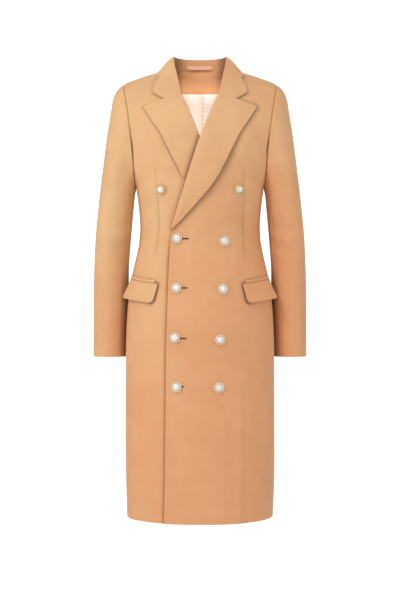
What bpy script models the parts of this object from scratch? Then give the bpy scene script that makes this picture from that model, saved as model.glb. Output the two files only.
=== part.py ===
"""A knee-length double-breasted overcoat, filled out as it is worn, with no wearer.

Metres, +Z up, the front facing -Y. The origin is the wearer's neck base, midway between the
two points where the shoulder seams meet the collar. Left and right are the wearer's: the left
front, at +X, laps over the right one.

Each piece of cloth is a grid of points on its face side, with a second grid a wall's thickness
behind it. The grids are worked out from the tables of body sections, shoulder rows and sleeve
sections below.
"""
import math

import bmesh
import bpy
import numpy as np
from mathutils import Vector
from mathutils.bvhtree import BVHTree

# Driving dimensions
WALL = 0.0020            # coat cloth, interlined
LAPEL_WALL = 0.0021      # lapel, collar and flaps
LINING_WALL = 0.0010
SEAM_GAP = 0.0003
GORGE_GAP = 0.0005
ARMHOLE_GAP = 0.0004
ARMHOLE_BEVEL = 0.0004   # the inner edges are cut back where the sleeve turns away
LAYER_GAP = 0.0012       # between pieces that lie on each other
HEM_Z = -1.016
BREAK_Z = -0.358         # where the lapel starts to turn back
OVERLAP_LIFT = 0.0033    # the left front over the right one
LAPEL_LIFT = 0.0074      # the left front over the right lapel
OVERLAP_FLAT = 0.014     # how far past the under edge the lift holds, then how far it fades over
OVERLAP_FADE = 0.024
OVER_LAPEL_FROM = -0.400 # where it starts to rise over the lapel, and over what height
OVER_LAPEL_FADE = 0.050
NECK_HALF = 0.066
NECK_BACK_Y = 0.066
NECK_SIDE_Y = 0.004
AXIS_Y = 0.012           # the body's own middle, from side seam to side seam
BESIDE_SEAM = 0.00002    # rays start this far off the centre seam, so that they meet a face
CHEST = (BESIDE_SEAM, AXIS_Y, -0.1)  # a place inside the hollow, level with the shoulders

# How square the body's sections are, where 0.55 is an ellipse: below the arms by height, and
# from the underarm (t 0) to the shoulder seam (t 1)
BODY_FULLNESS = [
    dict(z=-0.360, front=0.60, back=0.60),
    dict(z=-0.258, front=0.71, back=0.84),
]
SHOULDER_FULLNESS = [
    dict(t=0.00, front=0.71, back=0.84),
    dict(t=0.14, front=0.62, back=0.62),
    dict(t=1.00, front=0.60, back=0.60),
]

# Half sections of the body below the arms
BODY_SECTIONS = [
    dict(z=HEM_Z, half=0.1690, front=0.131, back=0.127, side_y=0.012),
    dict(z=-0.950, half=0.1715, front=0.131, back=0.128, side_y=0.012),
    dict(z=-0.850, half=0.1730, front=0.130, back=0.128, side_y=0.012),
    dict(z=-0.680, half=0.1730, front=0.128, back=0.126, side_y=0.012),
    dict(z=-0.600, half=0.1715, front=0.126, back=0.122, side_y=0.012),
    dict(z=-0.520, half=0.1670, front=0.121, back=0.114, side_y=0.012),
    dict(z=-0.450, half=0.1570, front=0.114, back=0.103, side_y=0.012),
    dict(z=-0.400, half=0.1450, front=0.109, back=0.094, side_y=0.012),
    dict(z=-0.348, half=0.1395, front=0.108, back=0.088, side_y=0.012),
    dict(z=-0.300, half=0.1425, front=0.117, back=0.091, side_y=0.012),
    dict(z=-0.258, half=0.1480, front=0.124, back=0.096, side_y=0.012),
]

# Rows of the body above the underarm, from it (t 0) to the shoulder seam (t 1): the middle of
# the row, its end at the armhole, and the direction in which it gets there
FRONT_ROWS = [
    dict(t=0.00, mid_y=-0.124, mid_z=-0.258, x=0.1480, y=0.012, z=-0.258, dx=0.00, dy=1.00, dz=0.0),
    dict(t=0.14, mid_y=-0.125, mid_z=-0.225, x=0.1495, y=-0.024, z=-0.248, dx=0.35, dy=0.93, dz=0.0),
    dict(t=0.29, mid_y=-0.123, mid_z=-0.182, x=0.1520, y=-0.053, z=-0.215, dx=0.62, dy=0.78, dz=0.0),
    dict(t=0.49, mid_y=-0.114, mid_z=-0.118, x=0.1575, y=-0.066, z=-0.150, dx=0.82, dy=0.57, dz=0.0),
    dict(t=0.70, mid_y=-0.091, mid_z=-0.056, x=0.1665, y=-0.058, z=-0.078, dx=0.92, dy=0.40, dz=0.0),
    dict(t=0.86, mid_y=-0.052, mid_z=-0.003, x=0.1745, y=-0.030, z=-0.032, dx=0.97, dy=0.20, dz=-0.12),
    dict(t=1.00, mid_y=0.004, mid_z=0.030, x=0.1780, y=0.006, z=-0.013, dx=0.94, dy=0.00, dz=-0.35),
]
BACK_ROWS = [
    dict(t=0.00, mid_y=0.096, mid_z=-0.258, x=0.1480, y=0.012, z=-0.258, dx=0.00, dy=-1.00, dz=0.0),
    dict(t=0.14, mid_y=0.098, mid_z=-0.222, x=0.1498, y=0.044, z=-0.246, dx=0.24, dy=-0.97, dz=0.0),
    dict(t=0.29, mid_y=0.099, mid_z=-0.172, x=0.1530, y=0.072, z=-0.203, dx=0.64, dy=-0.77, dz=0.0),
    dict(t=0.49, mid_y=0.096, mid_z=-0.104, x=0.1590, y=0.081, z=-0.140, dx=0.86, dy=-0.51, dz=0.0),
    dict(t=0.70, mid_y=0.085, mid_z=-0.035, x=0.1680, y=0.073, z=-0.076, dx=0.93, dy=-0.36, dz=0.0),
    dict(t=0.86, mid_y=0.067, mid_z=0.020, x=0.1755, y=0.042, z=-0.033, dx=0.97, dy=-0.20, dz=-0.12),
    dict(t=0.93, mid_y=0.037, mid_z=0.031, x=0.1773, y=0.025, z=-0.020, dx=0.96, dy=-0.10, dz=-0.22),
    dict(t=1.00, mid_y=0.004, mid_z=0.030, x=0.1780, y=0.006, z=-0.013, dx=0.94, dy=0.00, dz=-0.35),
]
GORGE = dict(x=0.042, z=-0.050)      # where the gorge seam meets the roll line
GORGE_T = 0.715

# The free edge of a front, from the hem up to the gorge. It is beyond the middle where x < 0
FRONT_EDGE = [
    dict(z=HEM_Z, x=-0.0800),
    dict(z=-0.900, x=-0.0775),
    dict(z=-0.640, x=-0.0755),
    dict(z=-0.500, x=-0.0715),
    dict(z=-0.420, x=-0.0685),
    dict(z=-0.358, x=-0.0630),
    dict(z=-0.156, x=0.0000),
    dict(z=-0.050, x=0.0420),
]

# The lapel's outer edge seen from the front, from the break up to the tip
LAPEL_EDGE = [
    dict(x=-0.0590, z=-0.3530),
    dict(x=-0.0034, z=-0.2925),
    dict(x=0.0224, z=-0.2632),
    dict(x=0.0685, z=-0.1808),
    dict(x=0.0934, z=-0.1306),
    dict(x=0.1119, z=-0.1038),
    dict(x=0.1278, z=-0.0776),
]
LAPEL_START = 0.012      # share of the roll's length at which the lapel comes out of the fold
LAPEL_ROWS = 19
NOTCH_AT = 0.45          # share of the lapel's top edge that is sewn to the collar

# Across a lapel, from the roll: how far over the panel (metres, then share of the rest of the
# width), how high its face stands, and from there how far in and up the underside is
ROLL_WIDTH = 0.0110
FOLD_ROWS = 4            # the first rows go round the fold
ROLL_PROFILE = [
    dict(reach=-0.0029, share=0.00, height=-0.0014, under_in=0.0019, under_up=0.0003),
    dict(reach=-0.0036, share=0.00, height=0.0012, under_in=0.0022, under_up=0.0003),
    dict(reach=-0.0020, share=0.00, height=0.0042, under_in=0.0020, under_up=-0.0016),
    dict(reach=0.0030, share=0.00, height=0.0062, under_in=0.0, under_up=-LAPEL_WALL),
    dict(reach=ROLL_WIDTH, share=0.00, height=0.0066, under_in=0.0, under_up=-LAPEL_WALL),
    dict(reach=ROLL_WIDTH, share=0.20, height=0.0058, under_in=0.0, under_up=-LAPEL_WALL),
    dict(reach=ROLL_WIDTH, share=0.40, height=0.0048, under_in=0.0, under_up=-LAPEL_WALL),
    dict(reach=ROLL_WIDTH, share=0.60, height=0.0044, under_in=0.0, under_up=-LAPEL_WALL),
    dict(reach=ROLL_WIDTH, share=0.80, height=0.0041, under_in=0.0, under_up=-LAPEL_WALL),
    dict(reach=ROLL_WIDTH, share=1.00, height=0.0038, under_in=0.0, under_up=-LAPEL_WALL),
]
LAPEL_PRESSED = 0.0033   # height of the right lapel's face where the left front lies on it
PRESSED_FADE = 0.05
BREAK_PRESSED = dict(share=0.7, fade=0.06)  # how flat each lapel's fold is at its break
LAPEL_PRESSED_FROM = dict(left=-1.0, right=-0.110)

# Half of the collar, from the middle of the back: the neck seam, the fold and the outer edge
COLLAR_STATIONS = [
    dict(at=0.00, seam=(0.0000, 0.0625, 0.0208), fold=(0.0000, 0.0735, 0.054), edge=(0.0000, 0.083, -0.014)),
    dict(at=0.16, seam=(0.0250, 0.0575, 0.0208), fold=(0.0270, 0.0675, 0.054), edge=(0.0370, 0.078, -0.012)),
    dict(at=0.32, seam=(0.0465, 0.0420, 0.0205), fold=(0.0470, 0.0490, 0.053), edge=(0.0680, 0.062, -0.004)),
    dict(at=0.46, seam=(0.0585, 0.0210, 0.0203), fold=(0.0575, 0.0260, 0.052), edge=(0.0870, 0.040, 0.009)),
    dict(at=0.58, seam=(0.0625, 0.0010, 0.0201), fold=(0.0612, 0.0010, 0.050), edge=(0.0960, 0.007, 0.015)),
    dict(at=0.70, seam=(0.0610, -0.0195, 0.011), fold=(0.0600, -0.023, 0.036), edge=(0.1000, -0.018, 0.003)),
    dict(at=0.82, seam=(0.0560, -0.0440, -0.008), fold=(0.0560, -0.047, 0.012), edge=(0.1040, -0.034, -0.017)),
    dict(at=0.92, seam=(0.0480, -0.0660, -0.029), fold=(0.0490, -0.069, -0.018), edge=(0.1075, -0.046, -0.034)),
]
COLLAR_CORNER = dict(x=0.1090, z=-0.0455)
COLLAR_COLUMNS = 13      # from the middle of the back to the last station
COLLAR_FALL = [          # down the fall: share of its depth, and how far it bows out
    dict(share=0.18, bow=0.0020),
    dict(share=0.38, bow=0.0028),
    dict(share=0.60, bow=0.0024),
    dict(share=0.81, bow=0.0014),
    dict(share=1.00, bow=0.0000),
]
FOLD_TOP = 4             # the collar's point where the fall starts
COLLAR_END = [           # its front end: the points along the gorge seam to the notch, then the corner
    dict(point=5, to="notch", share=0.45),
    dict(point=6, to="notch", share=1.0),
    dict(point=7, to="corner", share=0.33),
    dict(point=8, to="corner", share=0.67),
    dict(point=9, to="corner", share=1.0),
]
COLLAR_HEIGHT = 0.0048   # least height of its face over the panels
COLLAR_FOLD = dict(      # the bend over the stand: its inner and outer shoulders from the fold line
    full_rise=0.030, stand_at=0.55, inner_in=0.0030, inner_down=0.0042, outer_out=0.0052,
    outer_down=0.0016, bow_out=0.5, bow_up=0.86,
)

# Sleeve sections below the cap: the outer and inner sides, the middle and half the depth
SLEEVE_SECTIONS = [
    dict(z=-0.283, outer=0.2350, inner=0.1522, mid_y=0.008, deep=0.062),
    dict(z=-0.340, outer=0.2412, inner=0.1574, mid_y=0.012, deep=0.060),
    dict(z=-0.420, outer=0.2462, inner=0.1645, mid_y=0.020, deep=0.057),
    dict(z=-0.500, outer=0.2490, inner=0.1690, mid_y=0.029, deep=0.054),
    dict(z=-0.580, outer=0.2497, inner=0.1722, mid_y=0.036, deep=0.051),
    dict(z=-0.647, outer=0.2500, inner=0.1735, mid_y=0.040, deep=0.049),
]

# Pocket flap: its upper edge from the inner end to the outer one
FLAP = dict(inner_turn=41.0, outer_turn=79.2, inner_z=-0.4790, outer_z=-0.4655)
FLAP_SHAPE = dict(
    width=0.112, drop=0.0455, corner=0.011, outer_corner=0.6, slant=0.125, flare=1.4, columns=9,
)
FLAP_ROWS = [0.0, 0.16, 0.38, 0.62, 0.80, 0.92, 1.0]
FLAP_STAND = dict(inner=0.0035, outer=0.0140)     # how far the lower edge stands off
WELT = dict(height=0.0065, rise=0.0004, sunk=0.0006, inner=0.08)

# Buttons: height of each pair and how far each is from the middle
BUTTON_ROWS = [
    dict(row=1, left_x=0.0846, right_x=-0.0848, left_z=-0.2655, right_z=-0.2658),
    dict(row=2, left_x=0.0536, right_x=-0.0497, left_z=-0.3820, right_z=-0.3754),
    dict(row=3, left_x=0.0508, right_x=-0.0515, left_z=-0.4908, right_z=-0.4884),
    dict(row=4, left_x=0.0443, right_x=-0.0547, left_z=-0.6043, right_z=-0.6000),
    dict(row=5, left_x=0.0418, right_x=-0.0511, left_z=-0.7104, right_z=-0.7095),
]
BUTTON_PROFILE = [
    dict(radius=0.0028, height=0.0000),
    dict(radius=0.0026, height=0.0022),
    dict(radius=0.0100, height=0.0026),
    dict(radius=0.0115, height=0.0038),
    dict(radius=0.0108, height=0.0052),
    dict(radius=0.0092, height=0.0049),
    dict(radius=0.0060, height=0.0064),
]
BUTTON_TOP = 0.0070
BUTTON_SIDES = 14
BUTTON_GAP = 0.00045     # under the shank

LOOP = dict(half=0.0295, bottom=0.0274, top=0.0369, bow=0.0035, clear=0.0024, columns=13, stations_per_m=6.04)
FACING = dict(hem_z=-0.026, turn=64, wall=0.0012, drawn_in=0.0021, rows=6, columns=13)
LINING_COLUMNS = 11
LINING_ROWS = [HEM_Z + 0.028, -0.890, -0.770, -0.655, -0.560, -0.485, -0.420, -0.392, -0.368, -0.345,
               -0.320, -0.292, -0.272, -0.258, -0.248, -0.235, -0.190, -0.140, -0.090, -0.055,
               FACING["hem_z"] - GORGE_GAP]
LINING_EDGE = [
    dict(z=-0.027, turn=52.0),
    dict(z=-0.150, turn=58.0),
    dict(z=-0.235, turn=66.0),
    dict(z=-0.275, turn=84.0),
    dict(z=HEM_Z, turn=86.0),
]

# How the sleeve leaves the armhole: outward and downward, at the underarm and at the top, and
# how far the curve is pulled at its start and its end
SLEEVE_CAP = dict(out_low=0.35, out_top=1.0, down_low=0.90, down_top=0.05, start_pull=0.085, end_pull=0.60)
SLEEVE_SEAM_AT = 3       # the sleeve's seams are this many points from the underarm, each way

# How finely the grids are cut
COLUMNS = 11
BODY_ROWS = [HEM_Z, -0.990, -0.945, -0.890, -0.830, -0.770, -0.710, -0.655, -0.605, -0.560, -0.520,
             -0.485, -0.450, -0.420, -0.392, -0.368, -0.345, -0.320, -0.292, -0.272, -0.258]
SHOULDER_STEPS = [0.08, 0.16, 0.25, 0.35, 0.45, 0.55, 0.64, 0.715, 0.79, 0.86, 0.878, 0.905, 0.95, 1.0]
CAP_STEPS = 6
SLEEVE_ROWS = [-0.283, -0.312, -0.345, -0.380, -0.420, -0.460, -0.500, -0.540, -0.580, -0.618, -0.637, -0.647]


# Reading the tables
def smooth(table, key, column, at):
    """The column's value at a key, on a curve through the table's rows."""
    keys = np.array([row[key] for row in table])
    values = np.array([row[column] for row in table], dtype=float)
    slopes = np.gradient(values, keys, axis=0)
    i = int(np.clip(np.searchsorted(keys, at) - 1, 0, len(keys) - 2))
    span = keys[i + 1] - keys[i]
    s = (at - keys[i]) / span
    return (
        (2 * s**3 - 3 * s**2 + 1) * values[i]
        + (s**3 - 2 * s**2 + s) * span * slopes[i]
        + (3 * s**2 - 2 * s**3) * values[i + 1]
        + (s**3 - s**2) * span * slopes[i + 1]
    )


def straight(table, key, column, at):
    return np.interp(at, [row[key] for row in table], [row[column] for row in table])


def ease(x):
    x = np.clip(x, 0.0, 1.0)
    return x * x * (3 - 2 * x)


def bezier(corners, at):
    a, b, c, d = (np.asarray(corner, float) for corner in corners)
    at = np.asarray(at)[..., None]
    return (1 - at) ** 3 * a + 3 * at * (1 - at) ** 2 * b + 3 * at**2 * (1 - at) * c + at**3 * d


def unit(vectors):
    return vectors / np.maximum(np.linalg.norm(vectors, axis=-1, keepdims=True), 1e-12)


# The form of the body
def section_row(z, side):
    """Corners of the curve from the middle to the side; side is -1 in front, +1 behind."""
    half = smooth(BODY_SECTIONS, "z", "half", z)
    deep = smooth(BODY_SECTIONS, "z", "front" if side < 0 else "back", z)
    side_y = smooth(BODY_SECTIONS, "z", "side_y", z)
    full = straight(BODY_FULLNESS, "z", "front" if side < 0 else "back", z)
    middle = side * deep
    return (
        (0, middle, z),
        (full * half, middle, z),
        (half, side_y + (middle - side_y) * full, z),
        (half, side_y, z),
    )


def shoulder_row(rows, t):
    middle = np.array([0, smooth(rows, "t", "mid_y", t), smooth(rows, "t", "mid_z", t)])
    end = np.array([smooth(rows, "t", column, t) for column in ("x", "y", "z")])
    way = unit(np.array([smooth(rows, "t", column, t) for column in ("dx", "dy", "dz")]))
    full = straight(SHOULDER_FULLNESS, "t", "front" if rows is FRONT_ROWS else "back", t)
    reach = full * (abs(way[1] * (end[1] - middle[1])) + 0.65 * way[0] * end[0])
    first = middle + np.array([full * end[0], 0, 0.35 * (end[2] - middle[2])])
    second = end - way * reach
    return middle, first, second, end


def row_points(corners, edge_x, columns=COLUMNS):
    """The row from where it crosses the edge, which gives X at each point, to its outer end."""
    at = np.linspace(-0.7, 1, 240)
    trial = bezier(corners, np.abs(at))
    trial[:, 0] *= np.sign(at)
    start = np.interp(0.0, trial[:, 0] - edge_x(trial), at)
    at = np.linspace(start, 1, columns + 1)
    points = bezier(corners, np.abs(at))
    points[:, 0] *= np.where(at < 0, -1, 1)
    return points


def front_edge_x(z):
    return straight(FRONT_EDGE, "z", "x", z)


def opening_edge(points):
    """X of the roll line and front edge at the heights of these points."""
    return front_edge_x(points[:, 2])


def front_neck_edge(part_way):
    """X of the neck seam in front, from the gorge to the shoulder."""
    x = GORGE["x"] + (NECK_HALF - GORGE["x"]) * math.sin(part_way * math.pi / 2)
    return lambda points: x


def back_neck_edge(points):
    """X of the oval neck seam behind, or of the centre seam below it."""
    behind = (points[:, 1] - NECK_SIDE_Y) / (NECK_BACK_Y - NECK_SIDE_Y)
    return NECK_HALF * np.sqrt(np.clip(1 - behind**2, 0, 1))


def front_grid():
    grid = [row_points(section_row(z, -1), opening_edge) for z in BODY_ROWS]
    for t in SHOULDER_STEPS:
        edge = opening_edge if t < GORGE_T else front_neck_edge((t - GORGE_T) / (1 - GORGE_T))
        grid.append(row_points(shoulder_row(FRONT_ROWS, t), edge))
    return np.array(grid)


def back_grid():
    grid = [row_points(section_row(z, 1), back_neck_edge) for z in BODY_ROWS]
    grid += [row_points(shoulder_row(BACK_ROWS, t), back_neck_edge) for t in SHOULDER_STEPS]
    return np.array(grid)


# Normals, shared by the grids that meet at a seam
def face_normals(grid):
    across = grid[1:, 1:] - grid[:-1, :-1]
    along = grid[1:, :-1] - grid[:-1, 1:]
    return np.cross(across, along)


def shared_normals(grids, outward):
    """Point normals of each grid, averaged over every grid that has the point."""
    total = {}
    for grid in grids:
        faces = face_normals(grid)
        middles = (grid[1:, 1:] + grid[:-1, :-1]) / 2
        faces *= np.sign((faces * outward(middles)).sum(-1, keepdims=True).sum())
        for row in range(grid.shape[0]):
            for column in range(grid.shape[1]):
                key = tuple(np.round(grid[row, column] * 1e6).astype(int))
                near = faces[max(row - 1, 0):row + 1, max(column - 1, 0):column + 1]
                total[key] = total.get(key, 0) + near.reshape(-1, 3).sum(0)
    return [
        unit(np.array([[total[tuple(np.round(point * 1e6).astype(int))] for point in row] for row in grid]))
        for grid in grids
    ]


def inset(grid, first_row=0.0, last_row=0.0, first_column=0.0, last_column=0.0):
    """The grid with its edges drawn in along the cloth."""
    drawn = grid.copy()
    drawn[0] += unit(grid[1] - grid[0]) * first_row
    drawn[-1] += unit(grid[-2] - grid[-1]) * last_row
    drawn[:, 0] += unit(grid[:, 1] - grid[:, 0]) * first_column
    drawn[:, -1] += unit(grid[:, -2] - grid[:, -1]) * last_column
    return drawn


def mirrored(grid):
    return grid * np.array([-1.0, 1.0, 1.0])


# Making solids
def cloth_finish(name, colour, roughness, metallic=0.0):
    material = bpy.data.materials.new(name)
    material.use_nodes = True
    shader = material.node_tree.nodes["Principled BSDF"]
    shader.inputs["Base Color"].default_value = (*colour, 1)
    shader.inputs["Roughness"].default_value = roughness
    shader.inputs["Metallic"].default_value = metallic
    return material


def add_object(name, mesh_builder, material):
    mesh = bpy.data.meshes.new(name)
    mesh_builder.to_mesh(mesh)
    mesh_builder.free()
    mesh.materials.append(material)
    mesh.shade_smooth()
    mesh.set_sharp_from_angle(angle=math.radians(40))
    made = bpy.data.objects.new(name, mesh)
    bpy.context.collection.objects.link(made)
    return made


def add_cloth(name, face, behind, material):
    """A piece of cloth: the grid of its face side, and the same grid on its other side."""
    rows, columns = face.shape[:2]
    piece = bmesh.new()
    place = piece.verts.layers.int.new("place")
    grid = bmesh.ops.create_grid(piece, x_segments=columns - 1, y_segments=rows - 1, size=1)
    for number, vert in enumerate(grid["verts"]):
        vert.co = face.reshape(-1, 3)[number]
        vert[place] = number
    walls = bmesh.ops.extrude_face_region(piece, geom=piece.faces[:], use_keep_orig=True)
    for vert in walls["geom"]:
        if isinstance(vert, bmesh.types.BMVert):
            vert.co = behind.reshape(-1, 3)[vert[place]]
    bmesh.ops.recalc_face_normals(piece, faces=piece.faces)
    return add_object(name, piece, material)


def surface_of(*grids):
    """A surface to lay other pieces on, made from grids of points."""
    points, faces = [], []
    for grid in grids:
        rows, columns = grid.shape[:2]
        first = len(points)
        points += [Vector(point) for point in grid.reshape(-1, 3)]
        for row in range(rows - 1):
            for column in range(columns - 1):
                a = first + row * columns + column
                faces.append((a, a + 1, a + columns + 1, a + columns))
    return BVHTree.FromPolygons(points, faces)


def in_front(surface, x, z, side=-1):
    """The point of the surface straight in front of (or behind) a place, and its normal there."""
    hit, normal, _, _ = surface.ray_cast(Vector((x, side, z)), Vector((0, -side, 0)))
    if hit is None:
        hit, normal, _, _ = surface.find_nearest(Vector((x, side * 0.08, z)))
    hit, normal = np.array(hit), np.array(normal)
    return hit, normal if normal[1] * side > 0 else -normal


def lifted(point, surface, least):
    """The point, moved out where it is nearer than this to the surface below it."""
    hit, normal, _, _ = surface.find_nearest(Vector(point))
    hit, normal = np.array(hit), np.array(normal)
    if normal @ (hit - np.array(CHEST)) < 0:
        normal = -normal
    height = (point - hit) @ normal
    return hit + normal * least if height < least else point


# The body's four panels
def overlap_lift(x, z):
    """How far the left front stands off the form, over the right front and its lapel."""
    if z > GORGE["z"]:
        return 0.0
    under_edge = -front_edge_x(z)
    high = OVERLAP_LIFT + (LAPEL_LIFT - OVERLAP_LIFT) * ease((z - OVER_LAPEL_FROM) / OVER_LAPEL_FADE)
    return high * (1 - ease((x - under_edge - OVERLAP_FLAT) / OVERLAP_FADE))


def make_body(wool):
    front, back = front_grid(), back_grid()
    back[-1] = front[-1]

    def outward(middles):
        return middles - np.array([0, AXIS_Y, 0]) - middles * np.array([0, 0, 1])

    front_n, back_n = shared_normals([front, back], outward)
    back_n[:, 0] *= np.where(np.abs(back[:, :1, 0]) < 1e-6, (0.0, 1.0, 1.0), (1.0, 1.0, 1.0))
    back_n = unit(back_n)
    raised = front + front_n * np.array([[[overlap_lift(p[0], p[2])] for p in row] for row in front])
    half_gap = SEAM_GAP / 2
    body_rows = len(BODY_ROWS)

    def panel(name, grid, normals, seams, side=1):
        face = inset(grid, **seams)
        behind = inset(grid - normals * WALL, **seams)
        # the armhole edge is bevelled on the inner side, clear of the sleeve's own turning
        behind[body_rows:, -1] += unit(behind[body_rows:, -2] - behind[body_rows:, -1]) * ARMHOLE_BEVEL
        if side < 0:
            grid, face, behind = mirrored(grid), mirrored(face), mirrored(behind)
        add_cloth(name, face, behind, wool)
        return grid

    front_seams = dict(last_row=half_gap, last_column=half_gap)
    back_seams = dict(last_row=half_gap, last_column=half_gap, first_column=half_gap)
    faces = dict(
        front_left=panel("front_left", raised, front_n, front_seams),
        front_right=panel("front_right", front, front_n, front_seams, -1),
        back_left=panel("back_left", back, back_n, back_seams),
        back_right=panel("back_right", back, back_n, back_seams, -1),
    )
    armhole = np.concatenate([front[body_rows - 1:, -1], back[body_rows - 1:-1, -1][::-1]])
    return faces, armhole


# Sleeves
def sleeve_ring(z, count):
    """An upright section of the sleeve, starting at the side next to the body."""
    outer, inner, mid_y, deep = (
        smooth(sorted(SLEEVE_SECTIONS, key=lambda row: row["z"]), "z", column, z)
        for column in ("outer", "inner", "mid_y", "deep")
    )
    turn = math.pi + np.arange(count) / count * 2 * math.pi
    return np.stack([
        (outer + inner) / 2 + (outer - inner) / 2 * np.cos(turn),
        mid_y + deep * np.sin(turn),
        np.full(count, z),
    ], axis=-1)


def sleeve_grid(armhole):
    """Rings from the armhole to the cuff. Point 0 is the underarm, and the front comes next."""
    ring = armhole[:-1]
    count = len(ring)
    top = sleeve_ring(SLEEVE_ROWS[0], count)
    lower = sleeve_ring(SLEEVE_ROWS[1], count)
    upness = (1 - np.cos(np.arange(count) / count * 2 * math.pi)) / 2
    leave = np.stack([
        SLEEVE_CAP["out_low"] + (SLEEVE_CAP["out_top"] - SLEEVE_CAP["out_low"]) * upness,
        np.zeros(count),
        (SLEEVE_CAP["down_low"] - SLEEVE_CAP["down_top"]) * upness - SLEEVE_CAP["down_low"],
    ], axis=-1)
    length = np.linalg.norm(top - ring, axis=-1, keepdims=True)
    ring = ring + np.array([ARMHOLE_GAP, 0, 0])
    corners = (
        ring,
        ring + unit(leave) * length * SLEEVE_CAP["start_pull"],
        top - unit(lower - top) * length * SLEEVE_CAP["end_pull"],
        top,
    )
    cap = [
        np.stack([bezier([corner[i] for corner in corners], at) for i in range(count)])
        for at in np.linspace(0, 1, CAP_STEPS + 1)[:-1]
    ]
    rings = cap + [sleeve_ring(z, count) for z in SLEEVE_ROWS]
    return np.array(rings)


def make_sleeves(armhole, wool):
    rings = sleeve_grid(armhole)
    count = rings.shape[1]
    closed = np.concatenate([rings, rings[:, :1]], axis=1)

    def outward(middles):
        centre = rings.mean(axis=1)[:-1, None] / 2 + rings.mean(axis=1)[1:, None] / 2
        return middles - centre

    normals = shared_normals([closed], outward)[0]
    front_seam, back_seam = SLEEVE_SEAM_AT, count - 1 - SLEEVE_SEAM_AT
    parts = dict(
        upper_sleeve=list(range(front_seam, back_seam + 1)),
        under_sleeve=list(range(back_seam, count)) + list(range(0, front_seam + 1)),
    )
    half_gap = SEAM_GAP / 2
    for name, columns in parts.items():
        grid, out = closed[:, columns], normals[:, columns]
        face = inset(grid, first_column=half_gap, last_column=half_gap)
        inner_gap = half_gap + ARMHOLE_BEVEL / 2
        behind = inset(grid - out * WALL, ARMHOLE_BEVEL, 0.0, inner_gap, inner_gap)
        add_cloth(name + "_left", face, behind, wool)
        add_cloth(name + "_right", mirrored(face), mirrored(behind), wool)


# Lapels and collar
def along_outline(rows, share):
    """A point on the outline seen from the front, by its share of the length."""
    points = np.array([(row["x"], row["z"]) for row in rows])
    lengths = np.concatenate([[0], np.cumsum(np.linalg.norm(np.diff(points, axis=0), axis=1))])
    table = [dict(at=length / lengths[-1], x=x, z=z) for length, (x, z) in zip(lengths, points)]
    return smooth(table, "at", "x", share), smooth(table, "at", "z", share)


def lapel_row(surface, roll, outer, pressed):
    """Face and underside of one row of a lapel, from its roll to its outer edge."""
    start, normal = in_front(surface, *roll)
    end, _ = in_front(surface, *outer)
    way = unit(end - start)
    way_flat = np.array([outer[0] - roll[0], outer[1] - roll[1]])
    width = np.linalg.norm(way_flat)
    face, behind = [], []
    for number, row in enumerate(ROLL_PROFILE):
        reach = min(row["reach"], 0.3 * width) + row["share"] * max(width - ROLL_WIDTH, 0.7 * width)
        height = row["height"]
        if height > LAPEL_PRESSED:
            height = LAPEL_PRESSED + (height - LAPEL_PRESSED) * (1 - pressed)
        if number < FOLD_ROWS:
            base, out = start + way * row["reach"], normal
        else:
            flat = np.array(roll) + way_flat / width * min(reach, width)
            base, out = in_front(surface, *flat)
        face.append(base + out * height)
        behind.append(base + way * row["under_in"] + out * (height + row["under_up"]))
    return np.array(face), np.array(behind)


def make_lapel(name, panel_face, side, pressed_below, wool):
    """A lapel lying on its front. The work is done at +X and mirrored for the right one."""
    face_side = panel_face if side > 0 else mirrored(panel_face)
    surface = surface_of(face_side)
    edge = face_side[:, 0]
    face, behind = [], []
    for share in np.linspace(LAPEL_START, 1, LAPEL_ROWS):
        roll_z = BREAK_Z + (GORGE["z"] - BREAK_Z) * share
        roll = (np.interp(roll_z, edge[:, 2], edge[:, 0]) + 0.0002, roll_z)
        outer = along_outline(LAPEL_EDGE, share)
        pressed = ease((pressed_below - roll_z) / PRESSED_FADE)
        near_break = 1 - ease((roll_z - BREAK_Z) / BREAK_PRESSED["fade"])
        a, b = lapel_row(surface, roll, outer, max(pressed, BREAK_PRESSED["share"] * near_break))
        face.append(a)
        behind.append(b)
    face, behind = np.array(face), np.array(behind)
    top_row = face[-1], behind[-1]
    if side < 0:
        face, behind = mirrored(face), mirrored(behind)
    add_cloth(name, face, behind, wool)
    return top_row


def collar_section(station, surface):
    """Face and underside across the collar: up the stand, over the fold and down the fall."""
    seam, fold, edge = (np.array(station[key]) for key in ("seam", "fold", "edge"))
    across = unit(edge - fold)
    level = unit(np.array([edge[0] - fold[0], edge[1] - fold[1], 0]))
    rise = fold - seam
    height = min(1.0, np.linalg.norm(rise) / COLLAR_FOLD["full_rise"])
    up = np.array([0, 0, 1.0])
    bow = level * COLLAR_FOLD["bow_out"] + up * COLLAR_FOLD["bow_up"]
    inner_shoulder = fold - (level * COLLAR_FOLD["inner_in"] + up * COLLAR_FOLD["inner_down"]) * height
    outer_shoulder = fold + level * COLLAR_FOLD["outer_out"] - up * COLLAR_FOLD["outer_down"]
    face = [
        seam,
        seam + (inner_shoulder - seam) * COLLAR_FOLD["stand_at"],
        inner_shoulder,
        fold,
        outer_shoulder,
    ]
    for row in COLLAR_FALL:
        face.append(outer_shoulder + (edge - outer_shoulder) * row["share"] + bow * row["bow"])
    behind_way = [
        level,
        level,
        level * math.cos(math.radians(30)) - up * math.sin(math.radians(30)),
        -up,
        -level * math.sin(math.radians(23.5)) - up * math.cos(math.radians(23.5)),
    ]
    fall_way = -unit(np.cross(np.cross(across, up), across))
    behind_way += [fall_way] * len(COLLAR_FALL)
    for i in range(FOLD_TOP, len(face)):
        face[i] = lifted(face[i], surface, COLLAR_HEIGHT)
    behind = [point + unit(way) * LAPEL_WALL for point, way in zip(face, behind_way)]
    for i in range(FOLD_TOP, len(face)):
        behind[i] = lifted(behind[i], surface, COLLAR_HEIGHT - LAPEL_WALL)
    return np.array(face), np.array(behind)


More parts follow.
